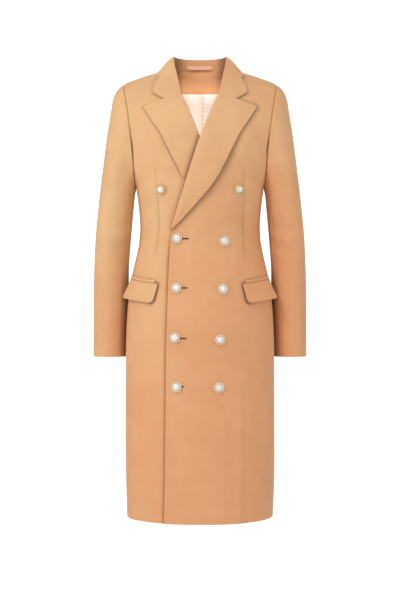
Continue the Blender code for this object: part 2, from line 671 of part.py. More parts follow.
def make_collar(surface, top_row, wool):
    """The collar, from one gorge seam round the neck to the other."""
    half_face, half_behind = [], []
    for at in np.linspace(0, COLLAR_STATIONS[-1]["at"], COLLAR_COLUMNS):
        station = {key: smooth(COLLAR_STATIONS, "at", key, at) for key in ("seam", "fold", "edge")}
        face, behind = collar_section(station, surface)
        half_face.append(face)
        half_behind.append(behind)

    def end_row(points, height):
        """The gorge seam and the collar's end: the lapel's top row, then up to the corner."""
        shift = unit(half_face[-1][3] - points[3]) * GORGE_GAP
        row = points + shift
        lapel_way = np.concatenate([[0], np.cumsum(np.linalg.norm(np.diff(points, axis=0), axis=1))])
        notch_at = lapel_way[-1] * NOTCH_AT
        corner, out = in_front(surface, COLLAR_CORNER["x"], COLLAR_CORNER["z"])
        notch = np.array([np.interp(notch_at, lapel_way, points[:, axis]) for axis in range(3)]) + shift
        corner = corner + out * height
        for row_of in COLLAR_END:
            start, end = (row[FOLD_TOP], notch) if row_of["to"] == "notch" else (notch, corner)
            row[row_of["point"]] = start + (end - start) * row_of["share"]
        return row

    half_face.append(end_row(top_row[0], COLLAR_HEIGHT))
    half_behind.append(end_row(top_row[1], COLLAR_HEIGHT - LAPEL_WALL))
    half_face, half_behind = np.array(half_face), np.array(half_behind)
    for i in range(FOLD_TOP + 1, half_face.shape[1]):
        half_face[-1, i] = lifted(half_face[-1, i], surface, COLLAR_HEIGHT)
        half_behind[-1, i] = lifted(half_behind[-1, i], surface, COLLAR_HEIGHT - LAPEL_WALL)
    face = np.concatenate([mirrored(half_face[:0:-1]), half_face])
    behind = np.concatenate([mirrored(half_behind[:0:-1]), half_behind])
    add_cloth("collar", face, behind, wool)


# Inside the neck
def inward(surface, start, way, depth):
    """Where a ray from inside meets the face of the body, drawn back in by this depth."""
    hit, normal, _, _ = surface.ray_cast(Vector(start), Vector(way))
    hit, normal = np.array(hit), np.array(normal)
    if normal @ way > 0:
        normal = -normal
    place = hit + normal * depth
    return place if abs(way[0]) > 1e-9 else place * np.array([0, 1, 1])


def radial(surface, z, turn, axis_y, depth):
    """A point inside the back, at an angle from straight behind, this far in from its face."""
    way = np.array([math.sin(turn), math.cos(turn), 0.0])
    return inward(surface, (BESIDE_SEAM, axis_y, z), way, depth)


def neck_seam(turn):
    """The collar's neck seam at an angle from straight behind, and the way outward from it."""
    angles = [math.atan2(row["seam"][0], row["seam"][1]) for row in COLLAR_STATIONS]
    at = np.interp(abs(turn), angles, [row["at"] for row in COLLAR_STATIONS])
    seam = smooth(COLLAR_STATIONS, "at", "seam", at)
    if turn < 0:
        seam = seam * np.array([-1, 1, 1])
    return seam, np.array([math.sin(turn), math.cos(turn), 0.0])


def make_facing(back, facing_wool):
    """The back neck facing: from the collar's seam down inside the back to a level hem."""
    face, behind = [], []
    for part in np.linspace(0, 1, FACING["rows"]):
        face_row, behind_row = [], []
        for turn in np.radians(np.linspace(-FACING["turn"], FACING["turn"], FACING["columns"])):
            seam, way = neck_seam(turn)
            seam = seam - np.array([0, 0, GORGE_GAP])
            inner, outer = (
                radial(back, FACING["hem_z"], turn, 0.0, WALL + LAYER_GAP + thick)
                for thick in (FACING["wall"], 0)
            )
            if part == 1:
                inner, outer = (
                    seam - way * (FACING["drawn_in"] + thick) for thick in (FACING["wall"], 0)
                )
            elif part > 0:
                aim = unit(inner + (seam - inner) * part - np.array([0, *CHEST[1:]]))
                depth = WALL + LAYER_GAP + FACING["drawn_in"] * part
                inner, outer = (inward(back, CHEST, aim, depth + thick) for thick in (FACING["wall"], 0))
            face_row.append(inner)
            behind_row.append(outer)
        face.append(face_row)
        behind.append(behind_row)
    add_cloth("neck_facing", np.array(face), np.array(behind), facing_wool)


def make_lining(back, lining):
    """The lining of the back, from the facing's hem to its own."""
    edges = sorted(LINING_EDGE, key=lambda row: row["z"])

    def layer(depth):
        return np.array([
            [
                radial(back, z, math.radians(across * straight(edges, "z", "turn", z)), AXIS_Y, depth)
                for across in np.linspace(-1, 1, LINING_COLUMNS)
            ]
            for z in LINING_ROWS
        ])

    add_cloth("back_lining", layer(WALL + LAYER_GAP + LINING_WALL), layer(WALL + LAYER_GAP), lining)


def make_loop(satin):
    """The ribbon that hangs on the collar's stand, bowed away from it."""
    stations = COLLAR_STATIONS[:3]
    low, high = stations[0]["seam"][2], stations[0]["fold"][2]
    face, behind = [], []
    for z in (LOOP["bottom"], (LOOP["bottom"] + LOOP["top"]) / 2, LOOP["top"]):
        part = (z - low) / (high - low)
        front_row, back_row = [], []
        for x in np.linspace(-1, 1, LOOP["columns"]) * LOOP["half"]:
            at = abs(x) * LOOP["stations_per_m"]
            seam, fold = smooth(stations, "at", "seam", at), smooth(stations, "at", "fold", at)
            stand = seam[1] + (fold[1] - seam[1]) * part
            off = LOOP["clear"] + LOOP["bow"] * (1 - (x / LOOP["half"]) ** 4)
            back_row.append((x, stand - off, z))
            front_row.append((x, stand - off - LINING_WALL, z))
        face.append(front_row)
        behind.append(back_row)
    add_cloth("hanger_loop", np.array(face), np.array(behind), satin)


# Pockets
def make_pocket(side, panel_face, wool):
    """A flap hanging from a slanting seam, with its lower edge standing off, and the welt above."""
    surface = surface_of(panel_face if side > 0 else mirrored(panel_face))
    hand = "left" if side > 0 else "right"
    inner, outer = math.radians(FLAP["inner_turn"]), math.radians(FLAP["outer_turn"])
    top = LAYER_GAP + LAPEL_WALL

    def point(across, down, height):
        """A place on the flap: share of its width, metres below its top edge, height off the form."""
        turn = inner + (outer - inner) * across
        z = FLAP["inner_z"] + (FLAP["outer_z"] - FLAP["inner_z"]) * across - down
        way = Vector((math.sin(turn), -math.cos(turn), 0))
        hit, normal, _, _ = surface.ray_cast(Vector((0, AXIS_Y, z)), way)
        hit, normal = np.array(hit), np.array(normal)
        if normal @ np.array(way) < 0:
            normal = -normal
        return hit + normal * height

    drop, corner = FLAP_SHAPE["drop"], FLAP_SHAPE["corner"]
    rows = []
    for part in FLAP_ROWS:
        into_corner = max(0.0, part * drop - (drop - corner)) / corner
        narrow = corner * (1 - math.sqrt(max(0.0, 1 - into_corner**2))) / FLAP_SHAPE["width"]
        rows.append((part * drop, narrow, part))
    columns = np.linspace(0, 1, FLAP_SHAPE["columns"])

    def grid(depth):
        made = []
        for down, narrow, part in rows:
            row = []
            for column in columns:
                start = narrow + FLAP_SHAPE["slant"] * part
                across = start + column * (1 - narrow * FLAP_SHAPE["outer_corner"] - start)
                stand = FLAP_STAND["inner"] + (FLAP_STAND["outer"] - FLAP_STAND["inner"]) * column
                row.append(point(across, down, top + stand * part ** FLAP_SHAPE["flare"] - depth))
            made.append(row)
        return np.array(made)

    def welt_grid(depth):
        return np.array([
            [point(WELT["inner"] + (1 - WELT["inner"]) * column, -down, top - depth) for column in columns]
            for down in (WELT["rise"], WELT["rise"] + WELT["height"])
        ])

    for name, face, behind in (
        ("pocket_flap_", grid(0), grid(LAPEL_WALL)),
        ("pocket_welt_", welt_grid(WELT["sunk"]), welt_grid(LAPEL_WALL)),
    ):
        if side < 0:
            face, behind = mirrored(face), mirrored(behind)
        add_cloth(name + hand, face, behind, wool)


# Buttons
def button_mesh(metal):
    """A domed shank button turned about Z, standing on z = 0."""
    button = bmesh.new()
    profile = [(row["radius"], row["height"]) for row in BUTTON_PROFILE]
    verts = [button.verts.new((radius, 0, height)) for radius, height in profile]
    edges = [button.edges.new(pair) for pair in zip(verts, verts[1:])]
    bmesh.ops.spin(
        button, geom=verts + edges, cent=(0, 0, 0), axis=(0, 0, 1), dvec=(0, 0, 0),
        angle=2 * math.pi, steps=BUTTON_SIDES, use_merge=True,
    )
    bmesh.ops.remove_doubles(button, verts=button.verts, dist=1e-5)
    for height, middle in ((0.0, 0.0), (profile[-1][1], BUTTON_TOP)):
        rim = [edge for edge in button.edges if edge.is_boundary and abs(edge.verts[0].co.z - height) < 1e-6]
        cap = bmesh.ops.triangle_fill(button, edges=rim)
        faces = [item for item in cap["geom"] if isinstance(item, bmesh.types.BMFace)]
        centre = bmesh.ops.poke(button, faces=bmesh.ops.dissolve_faces(button, faces=faces)["region"])
        centre["verts"][0].co.z = middle
    bmesh.ops.recalc_face_normals(button, faces=button.faces)
    mesh = bpy.data.meshes.new("button")
    button.to_mesh(mesh)
    button.free()
    mesh.materials.append(metal)
    mesh.shade_smooth()
    mesh.set_sharp_from_angle(angle=math.radians(40))
    return mesh


def make_buttons(faces, metal):
    mesh = button_mesh(metal)
    left, right = surface_of(faces["front_left"]), surface_of(faces["front_right"])
    for row in BUTTON_ROWS:
        for hand in ("left", "right"):
            x, z = row[hand + "_x"], row[hand + "_z"]
            on_top_front = hand == "left" or row["row"] > 1
            base, normal = in_front(left if on_top_front else right, x, z)
            button = bpy.data.objects.new(f"button_{row['row']}_{hand}", mesh)
            button.location = Vector(base + normal * BUTTON_GAP)
            button.rotation_mode = "QUATERNION"
            button.rotation_quaternion = Vector(normal).to_track_quat("Z", "Y")
            bpy.context.collection.objects.link(button)


def main():
    for old in list(bpy.data.objects):
        bpy.data.objects.remove(old, do_unlink=True)
    wool = cloth_finish("camel_wool", (0.72, 0.38, 0.18), 0.9)
    lining = cloth_finish("cream_lining", (0.93, 0.84, 0.74), 0.45)
    satin = cloth_finish("salmon_satin", (0.90, 0.55, 0.35), 0.35)
    metal = cloth_finish("pale_metal", (0.83, 0.79, 0.72), 0.25, 1.0)

    faces, armhole = make_body(wool)
    make_sleeves(np.concatenate([armhole, armhole[:1]]), wool)
    top_row = make_lapel("lapel_left", faces["front_left"], 1, LAPEL_PRESSED_FROM["left"], wool)
    make_lapel("lapel_right", faces["front_right"], -1, LAPEL_PRESSED_FROM["right"], wool)
    body = surface_of(*faces.values())
    make_collar(body, top_row, wool)
    back = surface_of(faces["back_left"], faces["back_right"])
    make_facing(back, wool)
    make_lining(back, lining)
    make_loop(satin)
    make_pocket(1, faces["front_left"], wool)
    make_pocket(-1, faces["front_right"], wool)
    make_buttons(faces, metal)


main()
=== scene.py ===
# A double-breasted camel overcoat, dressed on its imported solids. Metres, +Z up, front facing -Y
import math

import bmesh
import bpy
import numpy as np
from mathutils import Matrix, Vector
from mathutils.bvhtree import BVHTree
from mathutils.kdtree import KDTree


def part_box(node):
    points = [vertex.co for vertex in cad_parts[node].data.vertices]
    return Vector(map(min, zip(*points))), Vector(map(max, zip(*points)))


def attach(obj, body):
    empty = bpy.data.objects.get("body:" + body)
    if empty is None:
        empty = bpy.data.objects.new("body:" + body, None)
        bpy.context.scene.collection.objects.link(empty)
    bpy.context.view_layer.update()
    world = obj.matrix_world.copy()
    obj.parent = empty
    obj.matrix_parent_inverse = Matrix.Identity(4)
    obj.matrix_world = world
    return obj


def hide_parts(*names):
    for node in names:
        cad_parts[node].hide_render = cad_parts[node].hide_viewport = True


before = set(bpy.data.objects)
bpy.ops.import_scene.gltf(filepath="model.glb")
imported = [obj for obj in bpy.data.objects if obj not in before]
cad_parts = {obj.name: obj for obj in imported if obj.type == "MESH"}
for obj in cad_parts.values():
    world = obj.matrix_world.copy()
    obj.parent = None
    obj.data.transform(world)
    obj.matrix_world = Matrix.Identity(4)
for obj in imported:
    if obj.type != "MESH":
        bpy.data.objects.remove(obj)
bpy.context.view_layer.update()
print("frame loaded:", len(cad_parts), "nodes")
hands = dict(left=1, right=-1)      # the wearer's own, and the sign of X on that side


def smoothStep(x):
    x = np.clip(x, 0.0, 1.0)
    return x * x * (3 - 2 * x)


def bell(away, wide):
    # 1 in the middle, and next to nothing two widths away
    return np.exp(-(away / wide) ** 2)


def linkMesh(name, mesh):
    data = bpy.data.meshes.new(name)
    mesh.to_mesh(data)
    mesh.free()
    piece = bpy.data.objects.new(name, data)
    bpy.context.collection.objects.link(piece)
    return piece


def coordsOf(piece):
    points = np.empty(len(piece.data.vertices) * 3)
    piece.data.vertices.foreach_get("co", points)
    return points.reshape(-1, 3)


def setCoords(piece, points):
    piece.data.vertices.foreach_set("co", points.ravel())
    piece.data.update()


def surfaceOf(*pieces):
    mesh = bmesh.new()
    for piece in pieces:
        mesh.from_mesh(piece.data)
    tree = BVHTree.FromBMesh(mesh)
    mesh.free()
    return tree


def frontOf(tree, x, z):
    # the outermost point of a surface seen from the front, and its normal
    hit, normal, _, _ = tree.ray_cast(Vector((x, -1, z)), Vector((0, 1, 0)))
    return hit, normal if normal.y < 0 else -normal


def putOn(mesh, place, normal):
    # turns a bmesh made on the XY plane so that its +Z is the normal, and its +X still goes across
    up = normal.normalized()
    side = Vector((1, 0, 0))
    side = (side - up * side.dot(up)).normalized()
    turn = Matrix((side, up.cross(side), up)).transposed().to_4x4()
    bmesh.ops.transform(mesh, matrix=Matrix.Translation(place) @ turn, verts=mesh.verts)


def startGroup(name, inputs, outputs):
    group = bpy.data.node_groups.new(name, "ShaderNodeTree")
    for label, kind, value in inputs:
        socket = group.interface.new_socket(name=label, in_out="INPUT", socket_type=kind)
        socket.default_value = value
    for label, kind in outputs:
        group.interface.new_socket(name=label, in_out="OUTPUT", socket_type=kind)
    return group, group.nodes.new("NodeGroupInput"), group.nodes.new("NodeGroupOutput")


def addNode(tree, kind, links=None, **settings):
    # a setting that starts with in_ goes to the socket of that name
    node = tree.nodes.new(kind)
    for key, value in settings.items():
        if key.startswith("in_"):
            node.inputs[key[3:]].default_value = value
        else:
            setattr(node, key, value)
    for label, source in (links or {}).items():
        tree.links.new(source, node.inputs[label])
    return node


def placeIn(tree):
    return addNode(tree, "ShaderNodeTexCoord").outputs["Object"]


def attributeOf(tree, name):
    return addNode(tree, "ShaderNodeAttribute", attribute_name=name).outputs["Fac"]


def noiseOf(tree, vector, scale, detail, rough=0.55):
    return addNode(tree, "ShaderNodeTexNoise", {"Vector": vector}, in_Scale=scale, in_Detail=detail,
                   in_Roughness=rough).outputs["Fac"]


def stretched(tree, vector, scale):
    return addNode(tree, "ShaderNodeMapping", {"Vector": vector}, in_Scale=scale).outputs["Vector"]


def mathOf(tree, operation, a, b=0):
    node = addNode(tree, "ShaderNodeMath", operation=operation)
    for number, value in enumerate((a, b)):
        if isinstance(value, (int, float)):
            node.inputs[number].default_value = value
        else:
            tree.links.new(value, node.inputs[number])
    return node.outputs[0]


def blended(tree, a, b, shares):
    parts = [mathOf(tree, "MULTIPLY", value, share) for value, share in zip((a, b), shares)]
    return mathOf(tree, "ADD", *parts)


def ranged(tree, value, low, high, toLow, toHigh):
    node = addNode(tree, "ShaderNodeMapRange", {"Value": value}, clamp=True)
    for label, number in (("From Min", low), ("From Max", high), ("To Min", toLow), ("To Max", toHigh)):
        node.inputs[label].default_value = number
    return node.outputs["Result"]


def mixed(tree, factor, a, b):
    node = addNode(tree, "ShaderNodeMix", data_type="RGBA")
    for number, value in ((0, factor), (6, a), (7, b)):
        if hasattr(value, "links"):
            tree.links.new(value, node.inputs[number])
        else:
            node.inputs[number].default_value = value
    return node.outputs[2]


nap = dict(
    lying=(1.0, 1.0, 0.28), fibres=1500, clumps=420, patches=38, broad=7, shares=(0.55, 0.45),
    fine=(0.32, 0.68), slow=(0.75, 1.25), drift=0.2, driftBetween=(0.35, 0.65), roughness=(0.82, 0.96),
    bump=0.5, high=0.0006, tint=(1.0, 0.72, 0.48),
)
# the last of these colours is painted shade, laid on where the piece's shade attribute says
napColours = dict(colour="Colour", rosy="Rosy Colour", deep="Deep Colour", paintedShade="Painted Shade Colour")


def makeNapGroup():
    # felted wool: fibres lying down the cloth, small clumps, slow changes of tone, a rosier tone by
    # attribute, and painted shade by attribute
    group, start, end = startGroup(
        "feltedNap",
        [(label, "NodeSocketColor", (0.8, 0.4, 0.2, 1)) for label in napColours.values()]
        + [("Mottle", "NodeSocketFloat", 0.5)],
        [("Colour", "NodeSocketColor"), ("Roughness", "NodeSocketFloat"), ("Height", "NodeSocketFloat")],
    )
    place = placeIn(group)
    fibres = noiseOf(group, stretched(group, place, nap["lying"]), nap["fibres"], 2)
    clumps = noiseOf(group, place, nap["clumps"], 4, 0.6)
    patches = noiseOf(group, place, nap["patches"], 3)
    broad = noiseOf(group, place, nap["broad"], 2)
    height = blended(group, fibres, clumps, nap["shares"])
    fine = ranged(group, height, *nap["fine"], 0.0, 1.0)
    slow = ranged(group, mathOf(group, "ADD", patches, broad), *nap["slow"], 0.0, 1.0)
    tone = blended(group, fine, slow, nap["shares"])
    amount = mathOf(group, "MULTIPLY", tone, start.outputs["Mottle"])
    drift = ranged(group, broad, *nap["driftBetween"], -nap["drift"], nap["drift"])
    rosy = ranged(group, mathOf(group, "ADD", attributeOf(group, "rosy"), drift), 0.0, 1.0, 0.0, 1.0)
    colour = mixed(group, rosy, start.outputs["Colour"], start.outputs["Rosy Colour"])
    colour = mixed(group, amount, colour, start.outputs["Deep Colour"])
    colour = mixed(group, attributeOf(group, "paintedShade"), colour, start.outputs["Painted Shade Colour"])
    group.links.new(colour, end.inputs["Colour"])
    group.links.new(ranged(group, fine, 0, 1, *nap["roughness"]), end.inputs["Roughness"])
    group.links.new(height, end.inputs["Height"])
    return group


def startMaterial(name, **constants):
    material = bpy.data.materials.new(name)
    material.use_nodes = True
    shader = material.node_tree.nodes["Principled BSDF"]
    for label, value in constants.items():
        shader.inputs[label.replace("_", " ")].default_value = value
    return material, material.node_tree, shader


def joinShader(tree, shader, colour, roughness, height, strength, distance):
    # strength and distance are the bump's
    bump = addNode(tree, "ShaderNodeBump", {"Height": height}, in_Strength=strength, in_Distance=distance)
    sources = {"Base Color": colour, "Roughness": roughness, "Normal": bump.outputs["Normal"]}
    for label, source in sources.items():
        tree.links.new(source, shader.inputs[label])


def makeWool(group, name, looks):
    material, tree, shader = startMaterial(name, Sheen_Weight=looks["sheen"], Sheen_Roughness=0.4,
                                           Sheen_Tint=(*nap["tint"], 1), Specular_IOR_Level=0.15)
    felt = addNode(tree, "ShaderNodeGroup", node_tree=group, in_Mottle=looks["mottle"])
    for key, label in napColours.items():
        felt.inputs[label].default_value = (*looks[key], 1)
    joinShader(tree, shader, felt.outputs["Colour"], felt.outputs["Roughness"], felt.outputs["Height"],
               nap["bump"], nap["high"])
    return material


liningLooks = dict(
    cream=(0.96, 0.83, 0.70), blush=(0.95, 0.75, 0.61), pitch=0.018, shift=1.0042, band=(0.36, 0.58),
    line=0.86, lineHalf=0.07, lineMuch=0.7, threads=1800, lying=(1.0, 1.0, 0.05), roughness=(0.36, 0.5),
    stitch=(0.20, 0.10, 0.07), stitchX=0.0053, stitchHalf=0.0007, stitchSoft=0.6, stitchLong=0.0095,
    stitchShift=2.0, stitchEnds=(0.20, 0.24),
)


def makeLining():
    # satin with soft blush bands and fine lines down it, from the piece's own X
    looks = liningLooks
    material, tree, shader = startMaterial("stripedSatin", Sheen_Weight=0.1, Specular_IOR_Level=0.5)
    place = placeIn(tree)
    x, _, z = addNode(tree, "ShaderNodeSeparateXYZ", {"Vector": place}).outputs
    wave = mathOf(tree, "PINGPONG", mathOf(tree, "ADD", x, looks["shift"]), looks["pitch"])
    share = mathOf(tree, "DIVIDE", wave, looks["pitch"])
    band = ranged(tree, share, *looks["band"], 1.0, 0.0)
    line = mathOf(tree, "ABSOLUTE", mathOf(tree, "SUBTRACT", share, looks["line"]))
    line = ranged(tree, line, 0.0, looks["lineHalf"], looks["lineMuch"], 0.0)
    threads = noiseOf(tree, stretched(tree, place, looks["lying"]), looks["threads"], 2)
    amount = mathOf(tree, "MAXIMUM", band, line)
    amount = mathOf(tree, "MULTIPLY", amount, ranged(tree, threads, 0.3, 0.7, 0.75, 1.0))
    colour = mixed(tree, amount, (*looks["cream"], 1), (*looks["blush"], 1))
    # the running stitch down the middle pleat
    beside = mathOf(tree, "ABSOLUTE", mathOf(tree, "SUBTRACT", x, looks["stitchX"]))
    beside = ranged(tree, beside, looks["stitchHalf"] * looks["stitchSoft"], looks["stitchHalf"], 1.0, 0.0)
    dash = mathOf(tree, "PINGPONG", mathOf(tree, "ADD", z, looks["stitchShift"]), looks["stitchLong"] / 2)
    ends = [looks["stitchLong"] * part for part in looks["stitchEnds"]]
    stitched = mathOf(tree, "MULTIPLY", beside, ranged(tree, dash, *ends, 0.0, 1.0))
    colour = mixed(tree, stitched, colour, (*looks["stitch"], 1))
    joinShader(tree, shader, colour, ranged(tree, amount, 0, 1, *looks["roughness"]), threads, 0.25, 0.0003)
    return material


ribbonLooks = dict(light=(0.99, 0.58, 0.36), deep=(0.92, 0.46, 0.27), threads=2200, lying=(0.06, 1.0, 1.0),
                   roughness=(0.28, 0.42))


def makeSatin():
    looks = ribbonLooks
    material, tree, shader = startMaterial("salmonRibbon", Sheen_Weight=0.2, Specular_IOR_Level=0.6)
    threads = noiseOf(tree, stretched(tree, placeIn(tree), looks["lying"]), looks["threads"], 2)
    colour = mixed(tree, ranged(tree, threads, 0.3, 0.7, 0, 1), (*looks["light"], 1), (*looks["deep"], 1))
    roughness = ranged(tree, threads, 0.3, 0.7, *looks["roughness"])
    joinShader(tree, shader, colour, roughness, threads, 0.3, 0.0003)
    return material


metalLooks = dict(pale=(1.0, 0.98, 0.93), gilt=(0.86, 0.62, 0.24), dullAndShade=(0.34, 0.24, 0.12), clouds=260,
                  dulled=0.10, roughness=(0.30, 0.44))


def makeMetal():
    # pale plated metal, gilt on its rim, dulled here and there at random, and with painted shade in its
    # groove and dish
    looks = metalLooks
    material, tree, shader = startMaterial("paleMetal", Metallic=0.35, Specular_IOR_Level=0.6)
    cloud = noiseOf(tree, placeIn(tree), looks["clouds"], 4, 0.6)
    dullAndShade = mathOf(tree, "MULTIPLY", cloud, looks["dulled"])
    dullAndShade = mathOf(tree, "MAXIMUM", attributeOf(tree, "paintedShade"), dullAndShade)
    colour = mixed(tree, attributeOf(tree, "gilt"), (*looks["pale"], 1), (*looks["gilt"], 1))
    colour = mixed(tree, dullAndShade, colour, (*looks["dullAndShade"], 1))
    joinShader(tree, shader, colour, ranged(tree, cloud, 0.3, 0.7, *looks["roughness"]), cloud, 0.1, 0.0002)
    return material


threadLooks = dict(twists=2600, lying=(1.0, 1.0, 2.0), roughness=(0.5, 0.8))


def makeThread(name, colour, deep):
    looks = threadLooks
    material, tree, shader = startMaterial(name, Sheen_Weight=0.3)
    twist = noiseOf(tree, stretched(tree, placeIn(tree), looks["lying"]), looks["twists"], 2)
    colour = mixed(tree, ranged(tree, twist, 0.35, 0.65, 0, 1), (*colour, 1), (*deep, 1))
    joinShader(tree, shader, colour, ranged(tree, twist, 0.3, 0.7, *looks["roughness"]), twist, 0.5, 0.0003)
    return material


napGroup = makeNapGroup()
woolLooks = dict(colour=(0.80, 0.497, 0.255), rosy=(0.79, 0.391, 0.193), deep=(0.50, 0.220, 0.085),
                 paintedShade=(0.200, 0.075, 0.028), mottle=0.28, sheen=0.30)
facingLooks = dict(colour=(0.78, 0.385, 0.185), rosy=(0.76, 0.360, 0.180), deep=(0.48, 0.200, 0.080),
                   paintedShade=(0.200, 0.075, 0.028), mottle=0.28, sheen=0.05)
finish = dict(
    wool=makeWool(napGroup, "camelWool", woolLooks),
    facing=makeWool(napGroup, "facingWool", facingLooks),
    lining=makeLining(),
    satin=makeSatin(),
    metal=makeMetal(),
    thread=makeThread("camelThread", (0.36, 0.15, 0.06), (0.24, 0.09, 0.035)),
    # the slit's near-black thread is painted shade, standing in for the dark gap
    slit=makeThread("slitShade", (0.060, 0.022, 0.010), (0.030, 0.010, 0.005)),
)
print("materials made:", len(finish))


body = dict(axisY=0.012, roundness=0.150)
# a fold runs through points of (degrees round from the front, height); deep is below 0 for a trough
bodyFolds = [
    dict(path=[(-26, -0.352), (8, -0.300), (32, -0.245), (46, -0.205)], wide=0.020, deep=-0.0030),
    dict(path=[(-8, -0.372), (14, -0.345), (34, -0.300)], wide=0.011, deep=0.0012),
    dict(path=[(86, -0.338), (62, -0.352), (44, -0.349)], wide=0.010, deep=-0.0022),
    dict(path=[(92, -0.372), (66, -0.388), (50, -0.396)], wide=0.009, deep=-0.0015),
    dict(path=[(-88, -0.346), (-64, -0.356), (-46, -0.352)], wide=0.010, deep=-0.0020),
    dict(path=[(-94, -0.384), (-70, -0.396), (-54, -0.400)], wide=0.008, deep=-0.0013),
    dict(path=[(72, -0.215), (60, -0.150), (50, -0.105)], wide=0.016, deep=-0.0024),
    dict(path=[(-72, -0.210), (-60, -0.148), (-52, -0.110)], wide=0.015, deep=-0.0022),
    dict(path=[(35, -0.560), (36, -0.760), (35, -1.020)], wide=0.0075, deep=0.0022),
    dict(path=[(56, -0.560), (58, -0.760), (56, -1.020)], wide=0.026, deep=-0.0008),
    dict(path=[(-52, -0.600), (-56, -0.800), (-54, -1.020)], wide=0.026, deep=-0.0022),
    dict(path=[(-67, -0.640), (-70, -0.840), (-68, -1.020)], wide=0.018, deep=0.0014),
    dict(path=[(96, -0.640), (100, -0.820), (98, -1.020)], wide=0.026, deep=0.0030),
    dict(path=[(-98, -0.620), (-101, -0.840), (-97, -1.020)], wide=0.025, deep=0.0026),
    dict(path=[(24, -0.700), (20, -0.860), (22, -1.020)], wide=0.030, deep=0.0016),
    dict(path=[(-41, -0.585), (-38, -0.625), (-34, -0.655)], wide=0.007, deep=-0.0010),
    dict(path=[(-44, -0.540), (-40, -0.575), (-35, -0.592)], wide=0.006, deep=-0.0008),
    dict(path=[(128, -0.500), (134, -0.740), (130, -1.020)], wide=0.030, deep=-0.0072),
    dict(path=[(-132, -0.520), (-136, -0.760), (-133, -1.020)], wide=0.030, deep=-0.0064),
    dict(path=[(158, -0.560), (163, -0.800), (160, -1.020)], wide=0.026, deep=0.0054),
    dict(path=[(-157, -0.540), (-161, -0.790), (-158, -1.020)], wide=0.026, deep=0.0051),
    dict(path=[(118, -0.345), (142, -0.362), (168, -0.356)], wide=0.011, deep=-0.0042),
    dict(path=[(-120, -0.352), (-146, -0.366), (-170, -0.362)], wide=0.012, deep=-0.0038),
    dict(path=[(126, -0.398), (150, -0.412), (172, -0.404)], wide=0.010, deep=-0.0029),
    dict(path=[(-130, -0.392), (-152, -0.408), (-176, -0.398)], wide=0.009, deep=-0.0026),
    dict(path=[(112, -0.225), (128, -0.165), (138, -0.100)], wide=0.018, deep=-0.0048),
    dict(path=[(-112, -0.222), (-129, -0.160), (-140, -0.104)], wide=0.018, deep=-0.0045),
    dict(path=[(150, -0.030), (166, -0.046), (180, -0.050)], wide=0.016, deep=-0.0029),
    dict(path=[(-152, -0.034), (-168, -0.048), (-180, -0.052)], wide=0.016, deep=-0.0026),
]
darts = [
    dict(side=1, path=[(0.1032, -0.1875), (0.1003, -0.2520), (0.0997, -0.3700), (0.1022, -0.4400)]),
    dict(side=-1, path=[(0.1052, -0.1875), (0.1010, -0.2400), (0.0955, -0.3000), (0.0955, -0.3700),
                        (0.1030, -0.4340)]),
]
dartLooks = dict(wide=0.0018, deep=-0.0010, ends=(0.25, 0.2), dark=0.26, softWide=0.012, softDeep=-0.0014,
                 softStart=0.1, softLess=0.5)
foldLooks = dict(ends=0.7, hem=-1.0, hemFade=0.6, uneven=0.25, waves=9, shift=1.7)


def alongPath(points, path):
    # distance of each point from a path in the plane, and its share of the path's length
    path = np.array(path, float)
    lengths = np.linalg.norm(np.diff(path, axis=0), axis=1)
    starts = np.concatenate([[0], np.cumsum(lengths)])
    nearest = np.full(len(points), 9.0)
    share = np.zeros(len(points))
    for i, length in enumerate(lengths):
        way = (path[i + 1] - path[i]) / length
        reach = np.clip((points - path[i]) @ way, 0, length)
        away = np.linalg.norm(points - path[i] - reach[:, None] * way, axis=1)
        closer = away < nearest
        nearest = np.where(closer, away, nearest)
        share = np.where(closer, (starts[i] + reach) / starts[-1], share)
    return nearest, share


def smoothPath(path, steps=6):
    # more points on a curve through the path's own
    path = np.array(path, float)
    slopes = np.gradient(path, axis=0)
    made = []
    for i in range(len(path) - 1):
        for t in np.arange(steps) / steps:
            made.append((2 * t**3 - 3 * t**2 + 1) * path[i] + (t**3 - 2 * t**2 + t) * slopes[i]
                        + (3 * t**2 - 2 * t**3) * path[i + 1] + (t**3 - t**2) * slopes[i + 1])
    return np.array(made + [path[-1]])


def foldMove(places, folds, roundness):
    # how far each place of (metres round, height) moves out
    move = np.zeros(len(places))
    for number, fold in enumerate(folds):
        path = smoothPath(fold["path"]) * np.array([math.radians(1) * roundness, 1.0])
        away, share = alongPath(places, path)
        fade = np.sin(np.pi * np.clip(share, 0.02, 0.98)) ** foldLooks["ends"]
        if fold["path"][-1][1] < foldLooks["hem"]:      # runs out at the hem
            fade = smoothStep(share / foldLooks["hemFade"])
        uneven = 1 + foldLooks["uneven"] * np.sin(share * foldLooks["waves"] + number * foldLooks["shift"])
        move += fold["deep"] * uneven * fade * bell(away, fold["wide"])
    return move


def bodyPlaces(points):
    turn = np.arctan2(points[:, 0], body["axisY"] - points[:, 1])
    return np.stack([turn * body["roundness"], points[:, 2]], axis=1)


def bodyOut(points):
    out = points - np.array([0, body["axisY"], 0])
    out[:, 2] = 0
    return out / np.maximum(np.linalg.norm(out, axis=1, keepdims=True), 1e-6)


frontEdge = dict(
    line=[(-0.0660, -0.369), (-0.0684, -0.410), (-0.0711, -0.493), (-0.0738, -0.560), (-0.0760, -0.614),
          (-0.0772, -0.706), (-0.0772, -0.852), (-0.0805, -1.012)],
    lift=0.0016, wide=0.007, uneven=0.5, waves=(17, 5.3),
)


def liftEdge(points):
    # the upper front's edge stands off a little, not evenly
    away, share = alongPath(points[:, [0, 2]], frontEdge["line"])
    waves = [np.sin(share * wave) for wave in frontEdge["waves"]]
    uneven = 1 + frontEdge["uneven"] * waves[0] * waves[1]
    moved = points.copy()
    moved[:, 1] -= frontEdge["lift"] * uneven * bell(away, frontEdge["wide"]) * (points[:, 1] < 0)
    return moved


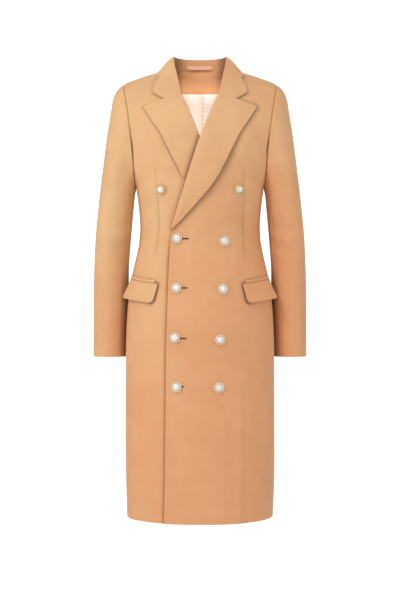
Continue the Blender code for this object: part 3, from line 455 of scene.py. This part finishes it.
lapelRoll = dict(
    start=0.24, fade=0.34, curve=1.3,
    left=dict(path=[(0.058, 0.020), (0.041, -0.060), (0.000, -0.150), (-0.064, -0.352)],
              lift=0.0075, full=0.060),
    right=dict(path=[(-0.058, 0.020), (-0.041, -0.060), (0.000, -0.150), (0.030, -0.230)],
               lift=0.0060, full=0.056),
)


def liftLapel(points, hand):
    # the turned-back edge stands off the front, most in its middle
    roll, fade = lapelRoll[hand], lapelRoll["fade"]
    away, share = alongPath(points[:, [0, 2]], roll["path"])
    along = smoothStep((share - lapelRoll["start"]) / fade) * smoothStep((1.0 - share) / fade)
    moved = points.copy()
    moved[:, 1] -= roll["lift"] * smoothStep(away / roll["full"]) ** lapelRoll["curve"] * along
    return moved


# dark is painted shade along each kind of seam
seamLooks = dict(dark=dict(armhole=0.45, body=0.35, sleeve=0.15), darkWide=0.0016, deep=-0.0010,
                 deepWide=0.0045, armhole=(0.100, 0.012, -0.160))
seamNeighbours = dict(
    front=["back", "upper_sleeve", "under_sleeve"],
    back=["front", "back", "upper_sleeve", "under_sleeve"],
    upper_sleeve=["front", "back", "under_sleeve"],
    under_sleeve=["front", "back", "upper_sleeve"],
)


# how a solid's loose triangles become a finer shell, with angles in degrees
shell = dict(merge=0.00001, rimAngle=58, cornerAngle=38, cornerLong=0.0032, joinAngle=70, joinShape=89,
             roundAngle=55, rimStep=0.0015)


def mergedMesh(node):
    mesh = bmesh.new()
    mesh.from_mesh(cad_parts[node].data)
    bmesh.ops.remove_doubles(mesh, verts=mesh.verts, dist=shell["merge"])
    return mesh


def rimPoints(node):
    # points along a CAD node's rim
    mesh = mergedMesh(node)
    made = []
    for edge in mesh.edges:
        if edge.calc_face_angle(0) > math.radians(shell["rimAngle"]):
            a, b = (np.array(vert.co) for vert in edge.verts)
            count = max(2, int(np.linalg.norm(b - a) / shell["rimStep"]) + 1)
            made.append(a + (b - a) * np.linspace(0, 1, count)[:, None])
    mesh.free()
    return np.concatenate(made)


# the flap's inner side comes in lower down, and its lower corner is drawn out
flapCorner = dict(inward=0.0050, top=-0.480, low=-0.522, outer=0.148, fade=0.034, x=0.1120, z=-0.5230,
                  around=0.0090, down=0.0020)


def flapShift(points):
    across = np.abs(points[:, 0])
    lower = np.clip((flapCorner["top"] - points[:, 2]) / (flapCorner["top"] - flapCorner["low"]), 0, 1)
    inner = smoothStep((flapCorner["outer"] - across) / flapCorner["fade"])
    away = np.hypot(across - flapCorner["x"], points[:, 2] - flapCorner["z"])
    corner = flapCorner["down"] * bell(away, flapCorner["around"])
    shift = np.zeros_like(points)
    shift[:, 0] = -np.sign(points[:, 0]) * (flapCorner["inward"] * lower * inner + 0.5 * corner)
    shift[:, 2] = -corner
    return shift


rims = {}      # each rim's tree of points, made once


def rimDistance(points, node):
    # how far each point is from the rim of a piece, where that piece is dressed
    if node not in rims:
        rim = rimPoints(node)
        if node.startswith("pocket_flap"):
            rim += flapShift(rim)
        rims[node] = KDTree(len(rim))
        for number, place in enumerate(rim):
            rims[node].insert(place, number)
        rims[node].balance()
    return np.array([rims[node].find(place)[2] for place in points])


# painted shade beside the edges of the pieces that lie on or over a piece, as their shadow on it: (how much,
# how wide)
contactShades = dict(
    front_left=dict(lapel_left=(0.55, 0.0085), collar=(0.40, 0.0040), pocket_flap_left=(0.95, 0.0040),
                    pocket_welt_left=(0.75, 0.0020)),
    front_right=dict(lapel_right=(0.50, 0.0040), collar=(0.40, 0.0040), pocket_flap_right=(0.95, 0.0040),
                     pocket_welt_right=(0.75, 0.0020), lapel_left=(0.95, 0.0075), front_left=(0.85, 0.0055)),
    lapel_right=dict(lapel_left=(0.95, 0.0075), front_left=(0.85, 0.0055)),
    pocket_flap_left=dict(pocket_welt_left=(0.70, 0.0018)),
    pocket_flap_right=dict(pocket_welt_right=(0.70, 0.0018)),
    back_left=dict(collar=(0.35, 0.0045)),
    back_right=dict(collar=(0.35, 0.0045)),
)


def paintedContactShade(points, node):
    # painted shade near the rims of the pieces listed for this one
    shade = np.zeros(len(points))
    for other, (much, wide) in contactShades.get(node, {}).items():
        shade = np.maximum(shade, much * bell(rimDistance(points, other), wide))
    return shade


# beside each other the skirt and the sleeves fill out a little, and the sleeves get painted shade on their
# inner side, as the skirt's shadow
sides = dict(top=-0.430, fade=0.05, low=-0.668, lowFade=0.030, skirt=0.0012, skirtTurn=0.40, sleeve=0.0024,
             sleeveFade=0.07, shade=0.90, shadeTop=-0.400, shadeFade=0.12)


def drawDarts(points):
    # how far the darts draw the cloth in, and the painted shade each point gets in a dart's trough
    move, paintedShade = np.zeros(len(points)), np.zeros(len(points))
    seen = np.stack([np.abs(points[:, 0]), points[:, 2]], axis=1)
    for dart in darts:
        near = (points[:, 1] < 0) & (points[:, 0] * dart["side"] > 0)
        away, share = alongPath(seen, smoothPath(dart["path"]))
        ends = smoothStep(share / dartLooks["ends"][0]) * smoothStep((1 - share) / dartLooks["ends"][1])
        sharp = bell(away, dartLooks["wide"]) * ends * near
        soft = bell(away, dartLooks["softWide"]) * smoothStep(share / dartLooks["softStart"])
        soft = soft * (1 - dartLooks["softLess"] * share) * near
        move += dartLooks["deep"] * sharp + dartLooks["softDeep"] * soft
        paintedShade = np.maximum(paintedShade, dartLooks["dark"] * sharp)
    return move, paintedShade


def foldBody(points, withDarts=False):
    # the body's points after its folds, and the painted shade in the darts' troughs
    move = foldMove(bodyPlaces(points), bodyFolds, body["roundness"])
    paintedShade = np.zeros(len(points))
    if withDarts:
        drawn, paintedShade = drawDarts(points)
        move += drawn
    out, height = bodyOut(points), points[:, 2]
    beside = bell(np.abs(out[:, 0]) - 1, sides["skirtTurn"])
    low = smoothStep((sides["top"] - height) / sides["fade"])
    move += sides["skirt"] * beside * (low * smoothStep((height - sides["low"]) / sides["lowFade"]))
    return points + out * move[:, None], paintedShade


# the middle line goes through points of (height, out, back)
sleeve = dict(
    line=[(-0.060, 0.176, 0.004), (-0.283, 0.1936, 0.008), (-0.420, 0.2054, 0.020), (-0.647, 0.2118, 0.040)],
    roundness=0.050, outAtTop=-0.10, topFade=0.06, deeper=1.4, rightShare=0.85,
)
sleeveHead = dict(z=-0.042, high=0.030, full=0.0036, start=0.178, fade=0.02)
# here the degrees are round the sleeve from its outer side, + towards the front
sleeveFolds = [
    dict(path=[(150, -0.330), (112, -0.352), (70, -0.346)], wide=0.009, deep=-0.0026),
    dict(path=[(165, -0.372), (120, -0.392), (78, -0.400)], wide=0.010, deep=-0.0030),
    dict(path=[(160, -0.412), (118, -0.424), (84, -0.418)], wide=0.008, deep=-0.0020),
    dict(path=[(60, -0.300), (48, -0.420), (52, -0.560)], wide=0.012, deep=0.0016),
    dict(path=[(20, -0.160), (26, -0.260), (18, -0.350)], wide=0.014, deep=-0.0018),
    dict(path=[(84, -0.480), (74, -0.560), (80, -0.640)], wide=0.010, deep=-0.0018),
    dict(path=[(30, -0.500), (24, -0.580), (28, -0.645)], wide=0.012, deep=-0.0016),
    dict(path=[(110, -0.200), (96, -0.262), (100, -0.320)], wide=0.012, deep=-0.0022),
    dict(path=[(-40, -0.210), (-52, -0.300), (-46, -0.390)], wide=0.014, deep=-0.0024),
    dict(path=[(-70, -0.400), (-96, -0.420), (-130, -0.412)], wide=0.010, deep=-0.0022),
    dict(path=[(-60, -0.460), (-84, -0.520), (-78, -0.610)], wide=0.013, deep=-0.0022),
]


def sleeveOut(points, side):
    # the way out from the sleeve's own middle, and the turn round it
    line = np.array(sleeve["line"])[::-1]
    centre = np.stack([np.interp(points[:, 2], line[:, 0], line[:, 1]) * side,
                       np.interp(points[:, 2], line[:, 0], line[:, 2])], axis=1)
    out = points[:, :2] - centre
    turn = np.arctan2(-out[:, 1], out[:, 0] * side)
    way = np.zeros_like(points)
    way[:, :2] = out / np.maximum(np.linalg.norm(out, axis=1, keepdims=True), 1e-6)
    return way, turn


def foldSleeve(points, side):
    # the sleeve's points after its folds, and the painted shade each gets on its inner side
    way, turn = sleeveOut(points, side)
    height = points[:, 2]
    places = np.stack([turn * sleeve["roundness"], height], axis=1)
    vary = 1.0 if side > 0 else sleeve["rightShare"]
    move = sleeve["deeper"] * foldMove(places, sleeveFolds, sleeve["roundness"]) * vary
    move *= smoothStep((sleeve["outAtTop"] - height) / sleeve["topFade"])
    inner, outer = smoothStep(-way[:, 0] * side), smoothStep(way[:, 0] * side)
    move += sides["sleeve"] * inner * smoothStep((sides["top"] - height) / sides["sleeveFade"])
    head = sleeveHead["full"] * bell(height - sleeveHead["z"], sleeveHead["high"])
    move += head * outer * smoothStep((points[:, 0] * side - sleeveHead["start"]) / sleeveHead["fade"])
    shade = sides["shade"] * inner**3 * smoothStep((sides["shadeTop"] - height) / sides["shadeFade"])
    return points + way * move[:, None], shade


def clothFrom(node, fineness, rimRound):
    # a finer shell on the node's own form, with its rim kept where it is and then rounded
    mesh = mergedMesh(node)
    bmesh.ops.join_triangles(mesh, faces=mesh.faces, angle_face_threshold=math.radians(shell["joinAngle"]),
                             angle_shape_threshold=math.radians(shell["joinShape"]))
    hold = mesh.edges.layers.float.new("crease_edge")
    for edge in mesh.edges:
        across = edge.calc_length() < shell["cornerLong"]      # from the face side to the other at a corner
        if edge.calc_face_angle(0) > math.radians(shell["cornerAngle" if across else "rimAngle"]):
            edge[hold] = 1.0
    piece = linkMesh(node + "_cloth", mesh)
    modifier = piece.modifiers.new("finer", "SUBSURF")
    modifier.levels = fineness
    modifier.render_levels = fineness
    finer = bpy.data.meshes.new_from_object(piece.evaluated_get(bpy.context.evaluated_depsgraph_get()))
    piece.modifiers.clear()
    piece.data = finer
    mesh = bmesh.new()
    mesh.from_mesh(finer)
    rim = [edge for edge in mesh.edges if edge.calc_face_angle(0) > math.radians(shell["roundAngle"])]
    bmesh.ops.bevel(mesh, geom=rim, offset=rimRound, segments=2, profile=0.5, affect="EDGES",
                    material=-1, clamp_overlap=True)
    mesh.to_mesh(finer)
    mesh.free()
    return piece


dressed = {}


def finishCloth(piece, node, material):
    piece.data.materials.append(finish[material])
    piece.data.shade_smooth()
    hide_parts(node)
    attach(piece, "root")
    dressed[node] = piece


# the cloth is painted rosier and a little darker lower down, from less far down on the wearer's left: partly
# the nap's own tone, partly painted shade from how the light falls
rosiness = dict(least=0.25, most=0.80, start=-0.12, reach=0.42, rightLower=0.22, rightX=-0.060,
                rightFade=0.035, leftMore=0.15, leftFade=0.06)


def rosyAt(points):
    right = smoothStep((rosiness["rightX"] - points[:, 0]) / rosiness["rightFade"])
    start = rosiness["start"] - rosiness["rightLower"] * right
    lower = smoothStep((start - points[:, 2]) / rosiness["reach"])
    left = np.tanh(points[:, 0] / rosiness["leftFade"])
    return rosiness["least"] + rosiness["leftMore"] * left + rosiness["most"] * lower


def setShade(piece, paintedShade, rosier=0.0):
    # writes the painted shade and the rosiness onto the piece's points
    for name, values in (("paintedShade", paintedShade), ("rosy", rosyAt(coordsOf(piece)) + rosier)):
        layer = piece.data.attributes.new(name, "FLOAT", "POINT")
        layer.data.foreach_set("value", np.asarray(values, dtype=np.float32))


def armholeOut(points, side):
    # the same way out for the panels and the sleeve that meet at the armhole
    out = points - np.array([seamLooks["armhole"][0] * side, *seamLooks["armhole"][1:]])
    return out / np.linalg.norm(out, axis=1, keepdims=True)


def pressSeams(points, name, hand, side):
    # seams are pressed in, with painted shade along them as thin dark lines
    onBody = name in panels
    moved, dark = points.copy(), np.zeros(len(points))
    for sewnTo in seamNeighbours[name]:
        if onBody != (sewnTo in panels):
            kind, out = "armhole", armholeOut(points, side)
        elif onBody:
            kind, out = "body", bodyOut(points)
        else:
            kind, out = "sleeve", sleeveOut(points, side)[0]
        other = {"left": "right", "right": "left"}[hand] if sewnTo == name else hand
        near = rimDistance(points, f"{sewnTo}_{other}")
        moved += out * (seamLooks["deep"] * bell(near, seamLooks["deepWide"]))[:, None]
        dark = np.maximum(dark, seamLooks["dark"][kind] * bell(near, seamLooks["darkWide"]))
    return moved, dark


panels = dict(
    front=dict(fineness=3, rim=0.0007, flat=(0.33, 1.04), area=0.283),
    back=dict(fineness=2, rim=0.0007, flat=(0.26, 1.05), area=0.215),
)
sleevePieces = dict(
    upper_sleeve=dict(fineness=2, rim=0.0006, flat=(0.30, 0.64), area=0.131),
    under_sleeve=dict(fineness=2, rim=0.0006, flat=(0.13, 0.45), area=0.033),
)
for hand, side in hands.items():
    for name, facts in {**panels, **sleevePieces}.items():
        node = f"{name}_{hand}"
        piece = clothFrom(node, facts["fineness"], facts["rim"])
        points = coordsOf(piece)
        shade = paintedContactShade(points, node)
        points, seams = pressSeams(points, name, hand, side)
        if name in panels:
            points, paintedShade = foldBody(points, withDarts=name == "front")
        else:
            points, paintedShade = foldSleeve(points, side)
        if node == "front_left":
            points = liftEdge(points)
        setCoords(piece, points)
        setShade(piece, np.maximum.reduce([paintedShade, shade, seams]))
        finishCloth(piece, node, "wool")
print("panels and sleeves dressed")


def slideOn(points, shift, surface):
    # moves points along a surface: each keeps its height above the cloth below
    moved = points.copy()
    for number in np.nonzero(np.abs(shift).max(axis=1) > 1e-5)[0]:
        start = Vector(points[number])
        place, normal, _, _ = surface.find_nearest(start)
        height = (start - place).dot(normal)
        start += Vector(shift[number])
        place, normal, _, _ = surface.find_nearest(start)
        moved[number] = start + normal * (height - (start - place).dot(normal))
    return moved


trims = dict(
    lapel=dict(fineness=3, rim=0.0006, flat=(0.17, 0.36), area=0.0224, rosier=0.0),
    pocket_flap=dict(fineness=3, rim=0.0006, flat=(0.125, 0.050), area=0.0058, rosier=-0.20),
    pocket_welt=dict(fineness=2, rim=0.0003, flat=(0.122, 0.012), area=0.0009, rosier=-0.20),
)
for hand in hands:
    for name, facts in trims.items():
        node = f"{name}_{hand}"
        piece = clothFrom(node, facts["fineness"], facts["rim"])
        points = coordsOf(piece)
        shade = paintedContactShade(points, node)
        points, _ = foldBody(points)
        if name == "lapel":
            points = liftLapel(points, hand)
        elif name == "pocket_flap":
            points = slideOn(points, flapShift(points), surfaceOf(dressed[f"front_{hand}"]))
        setCoords(piece, points)
        setShade(piece, shade, facts["rosier"])
        finishCloth(piece, node, "wool")


inside = dict(
    collar=dict(fineness=3, rim=0.0006, flat=(0.46, 0.12), area=0.0405, finish="wool", slot="camel_wool",
                on=["wearer_shoulders"]),
    neck_facing=dict(fineness=2, rim=0.0003, flat=(0.26, 0.075), area=0.0128, finish="facing",
                     slot="camel_wool", on=["back_left", "back_right"]),
    back_lining=dict(fineness=2, rim=0.0003, flat=(0.50, 0.98), area=0.344, finish="lining",
                     slot="cream_lining", on=["neck_facing"], inward=0.0015),
    hanger_loop=dict(fineness=2, rim=0.0003, flat=(0.064, 0.011), area=0.00062, finish="satin",
                     slot="salmon_satin", on=["collar"]),
)
# how far the leaf's outer edge comes in, by height, so that it runs straight to its corner
leaf = dict(inner=0.078, outer=0.1115, back=-0.005, front=-0.035,
            rows=[(-0.062, 0.0), (-0.0440, 0.0035), (-0.0257, 0.0085), (-0.0080, 0.0120), (0.0015, 0.0035),
                  (0.0080, 0.0)])


def narrowLeaf(points):
    heights, amounts = np.array(leaf["rows"]).T
    amount = np.interp(points[:, 2], heights, amounts)
    amount *= smoothStep((np.abs(points[:, 0]) - leaf["inner"]) / (leaf["outer"] - leaf["inner"]))
    amount *= smoothStep((leaf["back"] - points[:, 1]) / (leaf["back"] - leaf["front"]))
    shift = np.zeros_like(points)
    shift[:, 0] = -np.sign(points[:, 0]) * amount
    under = surfaceOf(*(dressed[f"{name}_{hand}"] for name in panels for hand in hands))
    return slideOn(points, shift, under)


# the neck's inner side: rosier, with painted shade at its sides where the roll edges shade it
neck = dict(collar=dict(shade=0.70, start=0.034, full=0.058, turn=0.5, rosier=0.6),
            neck_facing=dict(shade=0.45, start=0.036, full=0.054, turn=0.5, rosier=0.0))


def shadeNeck(piece, points, node):
    facts = neck[node]
    normals = np.empty(len(points) * 3)
    piece.data.vertices.foreach_get("normal", normals)
    inward = smoothStep(-(normals.reshape(-1, 3) * bodyOut(points)).sum(axis=1) / facts["turn"])
    beside = smoothStep((np.abs(points[:, 0]) - facts["start"]) / (facts["full"] - facts["start"]))
    return facts["shade"] * inward * beside, facts["rosier"] * inward


for node, facts in inside.items():
    piece = clothFrom(node, facts["fineness"], facts["rim"])
    points, paintedShade = foldBody(coordsOf(piece))
    rosier = 0.0
    if node in neck:
        paintedShade, rosier = shadeNeck(piece, points, node)
    if node == "back_lining":
        points -= bodyOut(points) * facts["inward"]      # clear of the pressed seams
    if node == "collar":
        points = narrowLeaf(points)
    setCoords(piece, points)
    setShade(piece, paintedShade, rosier)
    finishCloth(piece, node, facts["finish"])
print("collar, lapels, flaps and the inside dressed")


button = dict(
    sides=48, giltTop=0.9, giltBelow=0.27, giltFrom=0.0080, face=0.004, groove=(0.0084, 0.0102),
    dish=(0.0012, 0.0084), dishShade=0.34, lift=0.0002, sharp=50, rowTurn=23, leftTurn=9,
    rope=dict(count=26, at=0.0098, height=0.0049, lean=38, size=(0.00075, 0.00150, 0.00070), grid=(8, 6)),
    petals=dict(count=8, at=0.0050, height=0.0066, lean=14, size=(0.00235, 0.00125, 0.00075), grid=(10, 6)),
    eye=dict(height=0.0074, size=(0.0017, 0.0017, 0.0009), grid=(14, 8)),
    profile=[(0.0026, 0.0000), (0.0026, 0.0022), (0.0095, 0.0024), (0.0108, 0.0030), (0.0115, 0.0039),
             (0.0113, 0.0047), (0.0106, 0.0052), (0.0101, 0.0050), (0.0096, 0.0046), (0.0090, 0.0044),
             (0.0085, 0.0047), (0.0081, 0.0054), (0.0066, 0.0063), (0.0045, 0.0070), (0.0022, 0.0074),
             (0.0, 0.0075)],
)


def addBead(mesh, grid, matrix):
    made = bmesh.ops.create_uvsphere(mesh, u_segments=grid[0], v_segments=grid[1], radius=1, matrix=matrix)
    return made["verts"]


def buttonMesh(giltRim):
    # a crowned shell with a roped rim and a plain rosette, standing on z = 0
    rope, petals, eye = button["rope"], button["petals"], button["eye"]
    mesh = bmesh.new()
    paintedShade = mesh.verts.layers.float.new("paintedShade")
    gilt = mesh.verts.layers.float.new("gilt")
    line = [mesh.verts.new((radius, 0, height)) for radius, height in button["profile"]]
    # the groove and the dish get painted shade
    for vert, (radius, height) in zip(line, button["profile"]):
        if height > button["face"] and button["groove"][0] < radius < button["groove"][1]:
            vert[paintedShade] = 1.0
        elif height > button["face"] and button["dish"][0] < radius < button["dish"][1]:
            vert[paintedShade] = button["dishShade"]
        vert[gilt] = giltRim if radius > button["giltFrom"] else 0.0
    edges = [mesh.edges.new(pair) for pair in zip(line, line[1:])]
    bmesh.ops.spin(mesh, geom=line + edges, cent=(0, 0, 0), axis=(0, 0, 1), dvec=(0, 0, 0), angle=2 * math.pi,
                   steps=button["sides"], use_merge=True)
    bmesh.ops.remove_doubles(mesh, verts=mesh.verts, dist=0.00002)
    bottom = [edge for edge in mesh.edges if edge.is_boundary]
    bmesh.ops.holes_fill(mesh, edges=bottom, sides=0)
    bmesh.ops.recalc_face_normals(mesh, faces=mesh.faces)
    for number in range(rope["count"]):
        turn = Matrix.Rotation(2 * math.pi * number / rope["count"], 4, "Z")
        place = Matrix.Translation((rope["at"], 0, rope["height"]))
        shape = Matrix.Rotation(math.radians(rope["lean"]), 4, "Z") @ Matrix.Diagonal((*rope["size"], 1))
        for vert in addBead(mesh, rope["grid"], turn @ place @ shape):
            vert[gilt] = giltRim
    for number in range(petals["count"]):
        turn = Matrix.Rotation(2 * math.pi * (number + 0.5) / petals["count"], 4, "Z")
        place = Matrix.Translation((petals["at"], 0, petals["height"]))
        place = place @ Matrix.Rotation(math.radians(petals["lean"]), 4, "Y")
        addBead(mesh, petals["grid"], turn @ place @ Matrix.Diagonal((*petals["size"], 1)))
    place = Matrix.Translation((0, 0, eye["height"]))
    addBead(mesh, eye["grid"], place @ Matrix.Diagonal((*eye["size"], 1)))
    return mesh


fronts = {hand: surfaceOf(dressed[f"front_{hand}"]) for hand in hands}


def makeButtons():
    # five rows from the top; below the first, both buttons of a row are on the left front
    for row in range(1, 6):
        for hand in hands:
            node = f"button_{row}_{hand}"
            low, high = (Vector(corner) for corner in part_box(node))
            middle = (low + high) / 2
            front = fronts["right" if (row, hand) == (1, "right") else "left"]
            place, normal = frontOf(front, middle.x, middle.z)
            mesh = buttonMesh(button["giltTop" if row == 1 else "giltBelow"])
            turn = button["rowTurn"] * row + (button["leftTurn"] if hand == "left" else 0)
            bmesh.ops.transform(mesh, matrix=Matrix.Rotation(math.radians(turn), 4, "Z"), verts=mesh.verts)
            putOn(mesh, place + normal * button["lift"], normal)
            piece = linkMesh(node + "_metal", mesh)
            piece.data.materials.append(finish["metal"])
            piece.data.shade_smooth()
            piece.data.set_sharp_from_angle(angle=math.radians(button["sharp"]))
            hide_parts(node)
            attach(piece, "root")


buttonholes = [
    dict(row=2, x=-0.0370, z=-0.3775, half=0.0105), dict(row=3, x=-0.0400, z=-0.4880, half=0.0105),
    dict(row=4, x=-0.0425, z=-0.6012, half=0.0105), dict(row=5, x=-0.0455, z=-0.7085, half=0.0080),
]
holeLooks = dict(width=0.0017, segments=44, raised=0.0007, band=0.0005, purl=0.00010, slitEdge=0.0001,
                 slitDeep=0.0005, sunk=0.0001)


def makeButtonhole(facts, front):
    mesh = bmesh.new()
    bmesh.ops.create_circle(mesh, cap_ends=True, segments=holeLooks["segments"], radius=holeLooks["width"])
    for vert in mesh.verts:
        vert.co.x += math.copysign(facts["half"], vert.co.x)
    top = mesh.faces[:]
    raised = bmesh.ops.inset_region(mesh, faces=top, thickness=holeLooks["band"], depth=holeLooks["raised"])
    bmesh.ops.inset_region(mesh, faces=top, thickness=holeLooks["band"], depth=0.0)
    for face in raised["faces"][1::2]:      # every other stitch stands higher
        for vert in face.verts:
            vert.co.z += holeLooks["purl"]
    bmesh.ops.inset_region(mesh, faces=top, thickness=holeLooks["slitEdge"], depth=-holeLooks["slitDeep"])
    # the slit is a dark sheet of painted shade
    for face in top:
        face.material_index = 1
    place, normal = frontOf(front, facts["x"], facts["z"])
    putOn(mesh, place - normal * holeLooks["sunk"], normal)
    piece = linkMesh(f"buttonhole_{facts['row']}", mesh)
    piece.data.materials.append(finish["thread"])
    piece.data.materials.append(finish["slit"])
    piece.data.shade_smooth()
    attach(piece, "root")


makeButtons()
for facts in buttonholes:
    makeButtonhole(facts, fronts["left"])
print("buttons and buttonholes made")


view = dict(distance=3.3, height=-0.515, across=0.0, seenHeight=1.392)
stage = dict(floorZ=-1.42, half=30.0, wallY=3.4, wallHigh=7.0, bend=1.2, glow=0.65, sky=0.46)
lights = [
    dict(name="key", place=(-1.9, -2.5, 1.25), aim=(0, 0, -0.45), size=0.7, power=31),
    dict(name="fill", place=(0.3, -3.7, 0.1), aim=(0, 0, -0.5), size=1.2, power=23),
    dict(name="sideLeft", place=(-3.0, -0.8, -0.3), aim=(0, 0, -0.5), size=0.9, power=17),
    dict(name="sideRight", place=(3.0, -0.8, -0.3), aim=(0, 0, -0.5), size=0.9, power=13),
    dict(name="topLight", place=(0.1, -0.9, 2.2), aim=(0, 0.05, -0.1), size=1.0, power=9),
    dict(name="neckLight", place=(0.0, -1.1, 0.35), aim=(0, 0.07, -0.08), size=0.35, power=12.5,
         only=["neck_facing", "back_lining"]),
]


def makeStage():
    floor = bmesh.new()
    bmesh.ops.create_grid(floor, x_segments=1, y_segments=1, size=stage["half"])
    far = [edge for edge in floor.edges if all(vert.co.y > 0 for vert in edge.verts)]
    for vert in {vert for edge in far for vert in edge.verts}:
        vert.co.y = stage["wallY"]
    rise = bmesh.ops.extrude_edge_only(floor, edges=far)
    for item in rise["geom"]:
        if isinstance(item, bmesh.types.BMVert):
            item.co.z += stage["wallHigh"]
    bmesh.ops.bevel(floor, geom=far, offset=stage["bend"], segments=12, profile=0.5, affect="EDGES",
                    material=-1)
    bmesh.ops.translate(floor, vec=(0, 0, stage["floorZ"]), verts=floor.verts)
    backdrop = linkMesh("backdrop", floor)
    material, tree, shader = startMaterial("palePaper", Roughness=0.9, Specular_IOR_Level=0.1)
    paper = mixed(tree, noiseOf(tree, placeIn(tree), 300, 2), (0.90, 0.90, 0.90, 1), (0.88, 0.88, 0.88, 1))
    tree.links.new(paper, shader.inputs["Base Color"])
    # the paper is lit from behind, which only the camera sees
    glow = addNode(tree, "ShaderNodeEmission", in_Color=(1, 1, 1, 1), in_Strength=stage["glow"])
    dark = addNode(tree, "ShaderNodeEmission", in_Color=(0, 0, 0, 1), in_Strength=0.0)
    seen = addNode(tree, "ShaderNodeLightPath").outputs["Is Camera Ray"]
    only = addNode(tree, "ShaderNodeMixShader", {0: seen, 1: dark.outputs[0], 2: glow.outputs[0]})
    both = addNode(tree, "ShaderNodeAddShader", {0: shader.outputs[0], 1: only.outputs[0]})
    tree.links.new(both.outputs[0], tree.nodes["Material Output"].inputs["Surface"])
    backdrop.data.materials.append(material)
    backdrop.data.shade_smooth()


def addLight(facts):
    data = bpy.data.lights.new(facts["name"], "AREA")
    data.shape = "DISK"
    data.size = facts["size"]
    data.energy = facts["power"]
    lamp = bpy.data.objects.new(facts["name"], data)
    lamp.location = facts["place"]
    aim = Vector(facts["aim"]) - Vector(facts["place"])
    lamp.rotation_euler = aim.to_track_quat("-Z", "Y").to_euler()
    if "only" in facts:
        lamp.light_linking.receiver_collection = bpy.data.collections.new(facts["name"])
        for node in facts["only"]:
            lamp.light_linking.receiver_collection.objects.link(dressed[node])
    bpy.context.collection.objects.link(lamp)


def makeLightAndCamera():
    for facts in lights:
        addLight(facts)
    world = bpy.data.worlds.new("studio")
    world.use_nodes = True
    world.node_tree.nodes["Background"].inputs["Color"].default_value = (1, 1, 1, 1)
    world.node_tree.nodes["Background"].inputs["Strength"].default_value = stage["sky"]
    bpy.context.scene.world = world
    bpy.context.scene.view_settings.view_transform = "Standard"      # the cloth's own colours, as picked
    lens = bpy.data.cameras.new("camera")
    lens.sensor_fit = "VERTICAL"
    lens.sensor_height = 24.0
    lens.lens = lens.sensor_height * view["distance"] / view["seenHeight"]
    camera = bpy.data.objects.new("camera", lens)
    camera.location = (view["across"], -view["distance"], view["height"])
    camera.rotation_euler = (math.pi / 2, 0, 0)
    bpy.context.collection.objects.link(camera)
    bpy.context.scene.camera = camera


makeStage()
makeLightAndCamera()
print("stage, light and camera set")
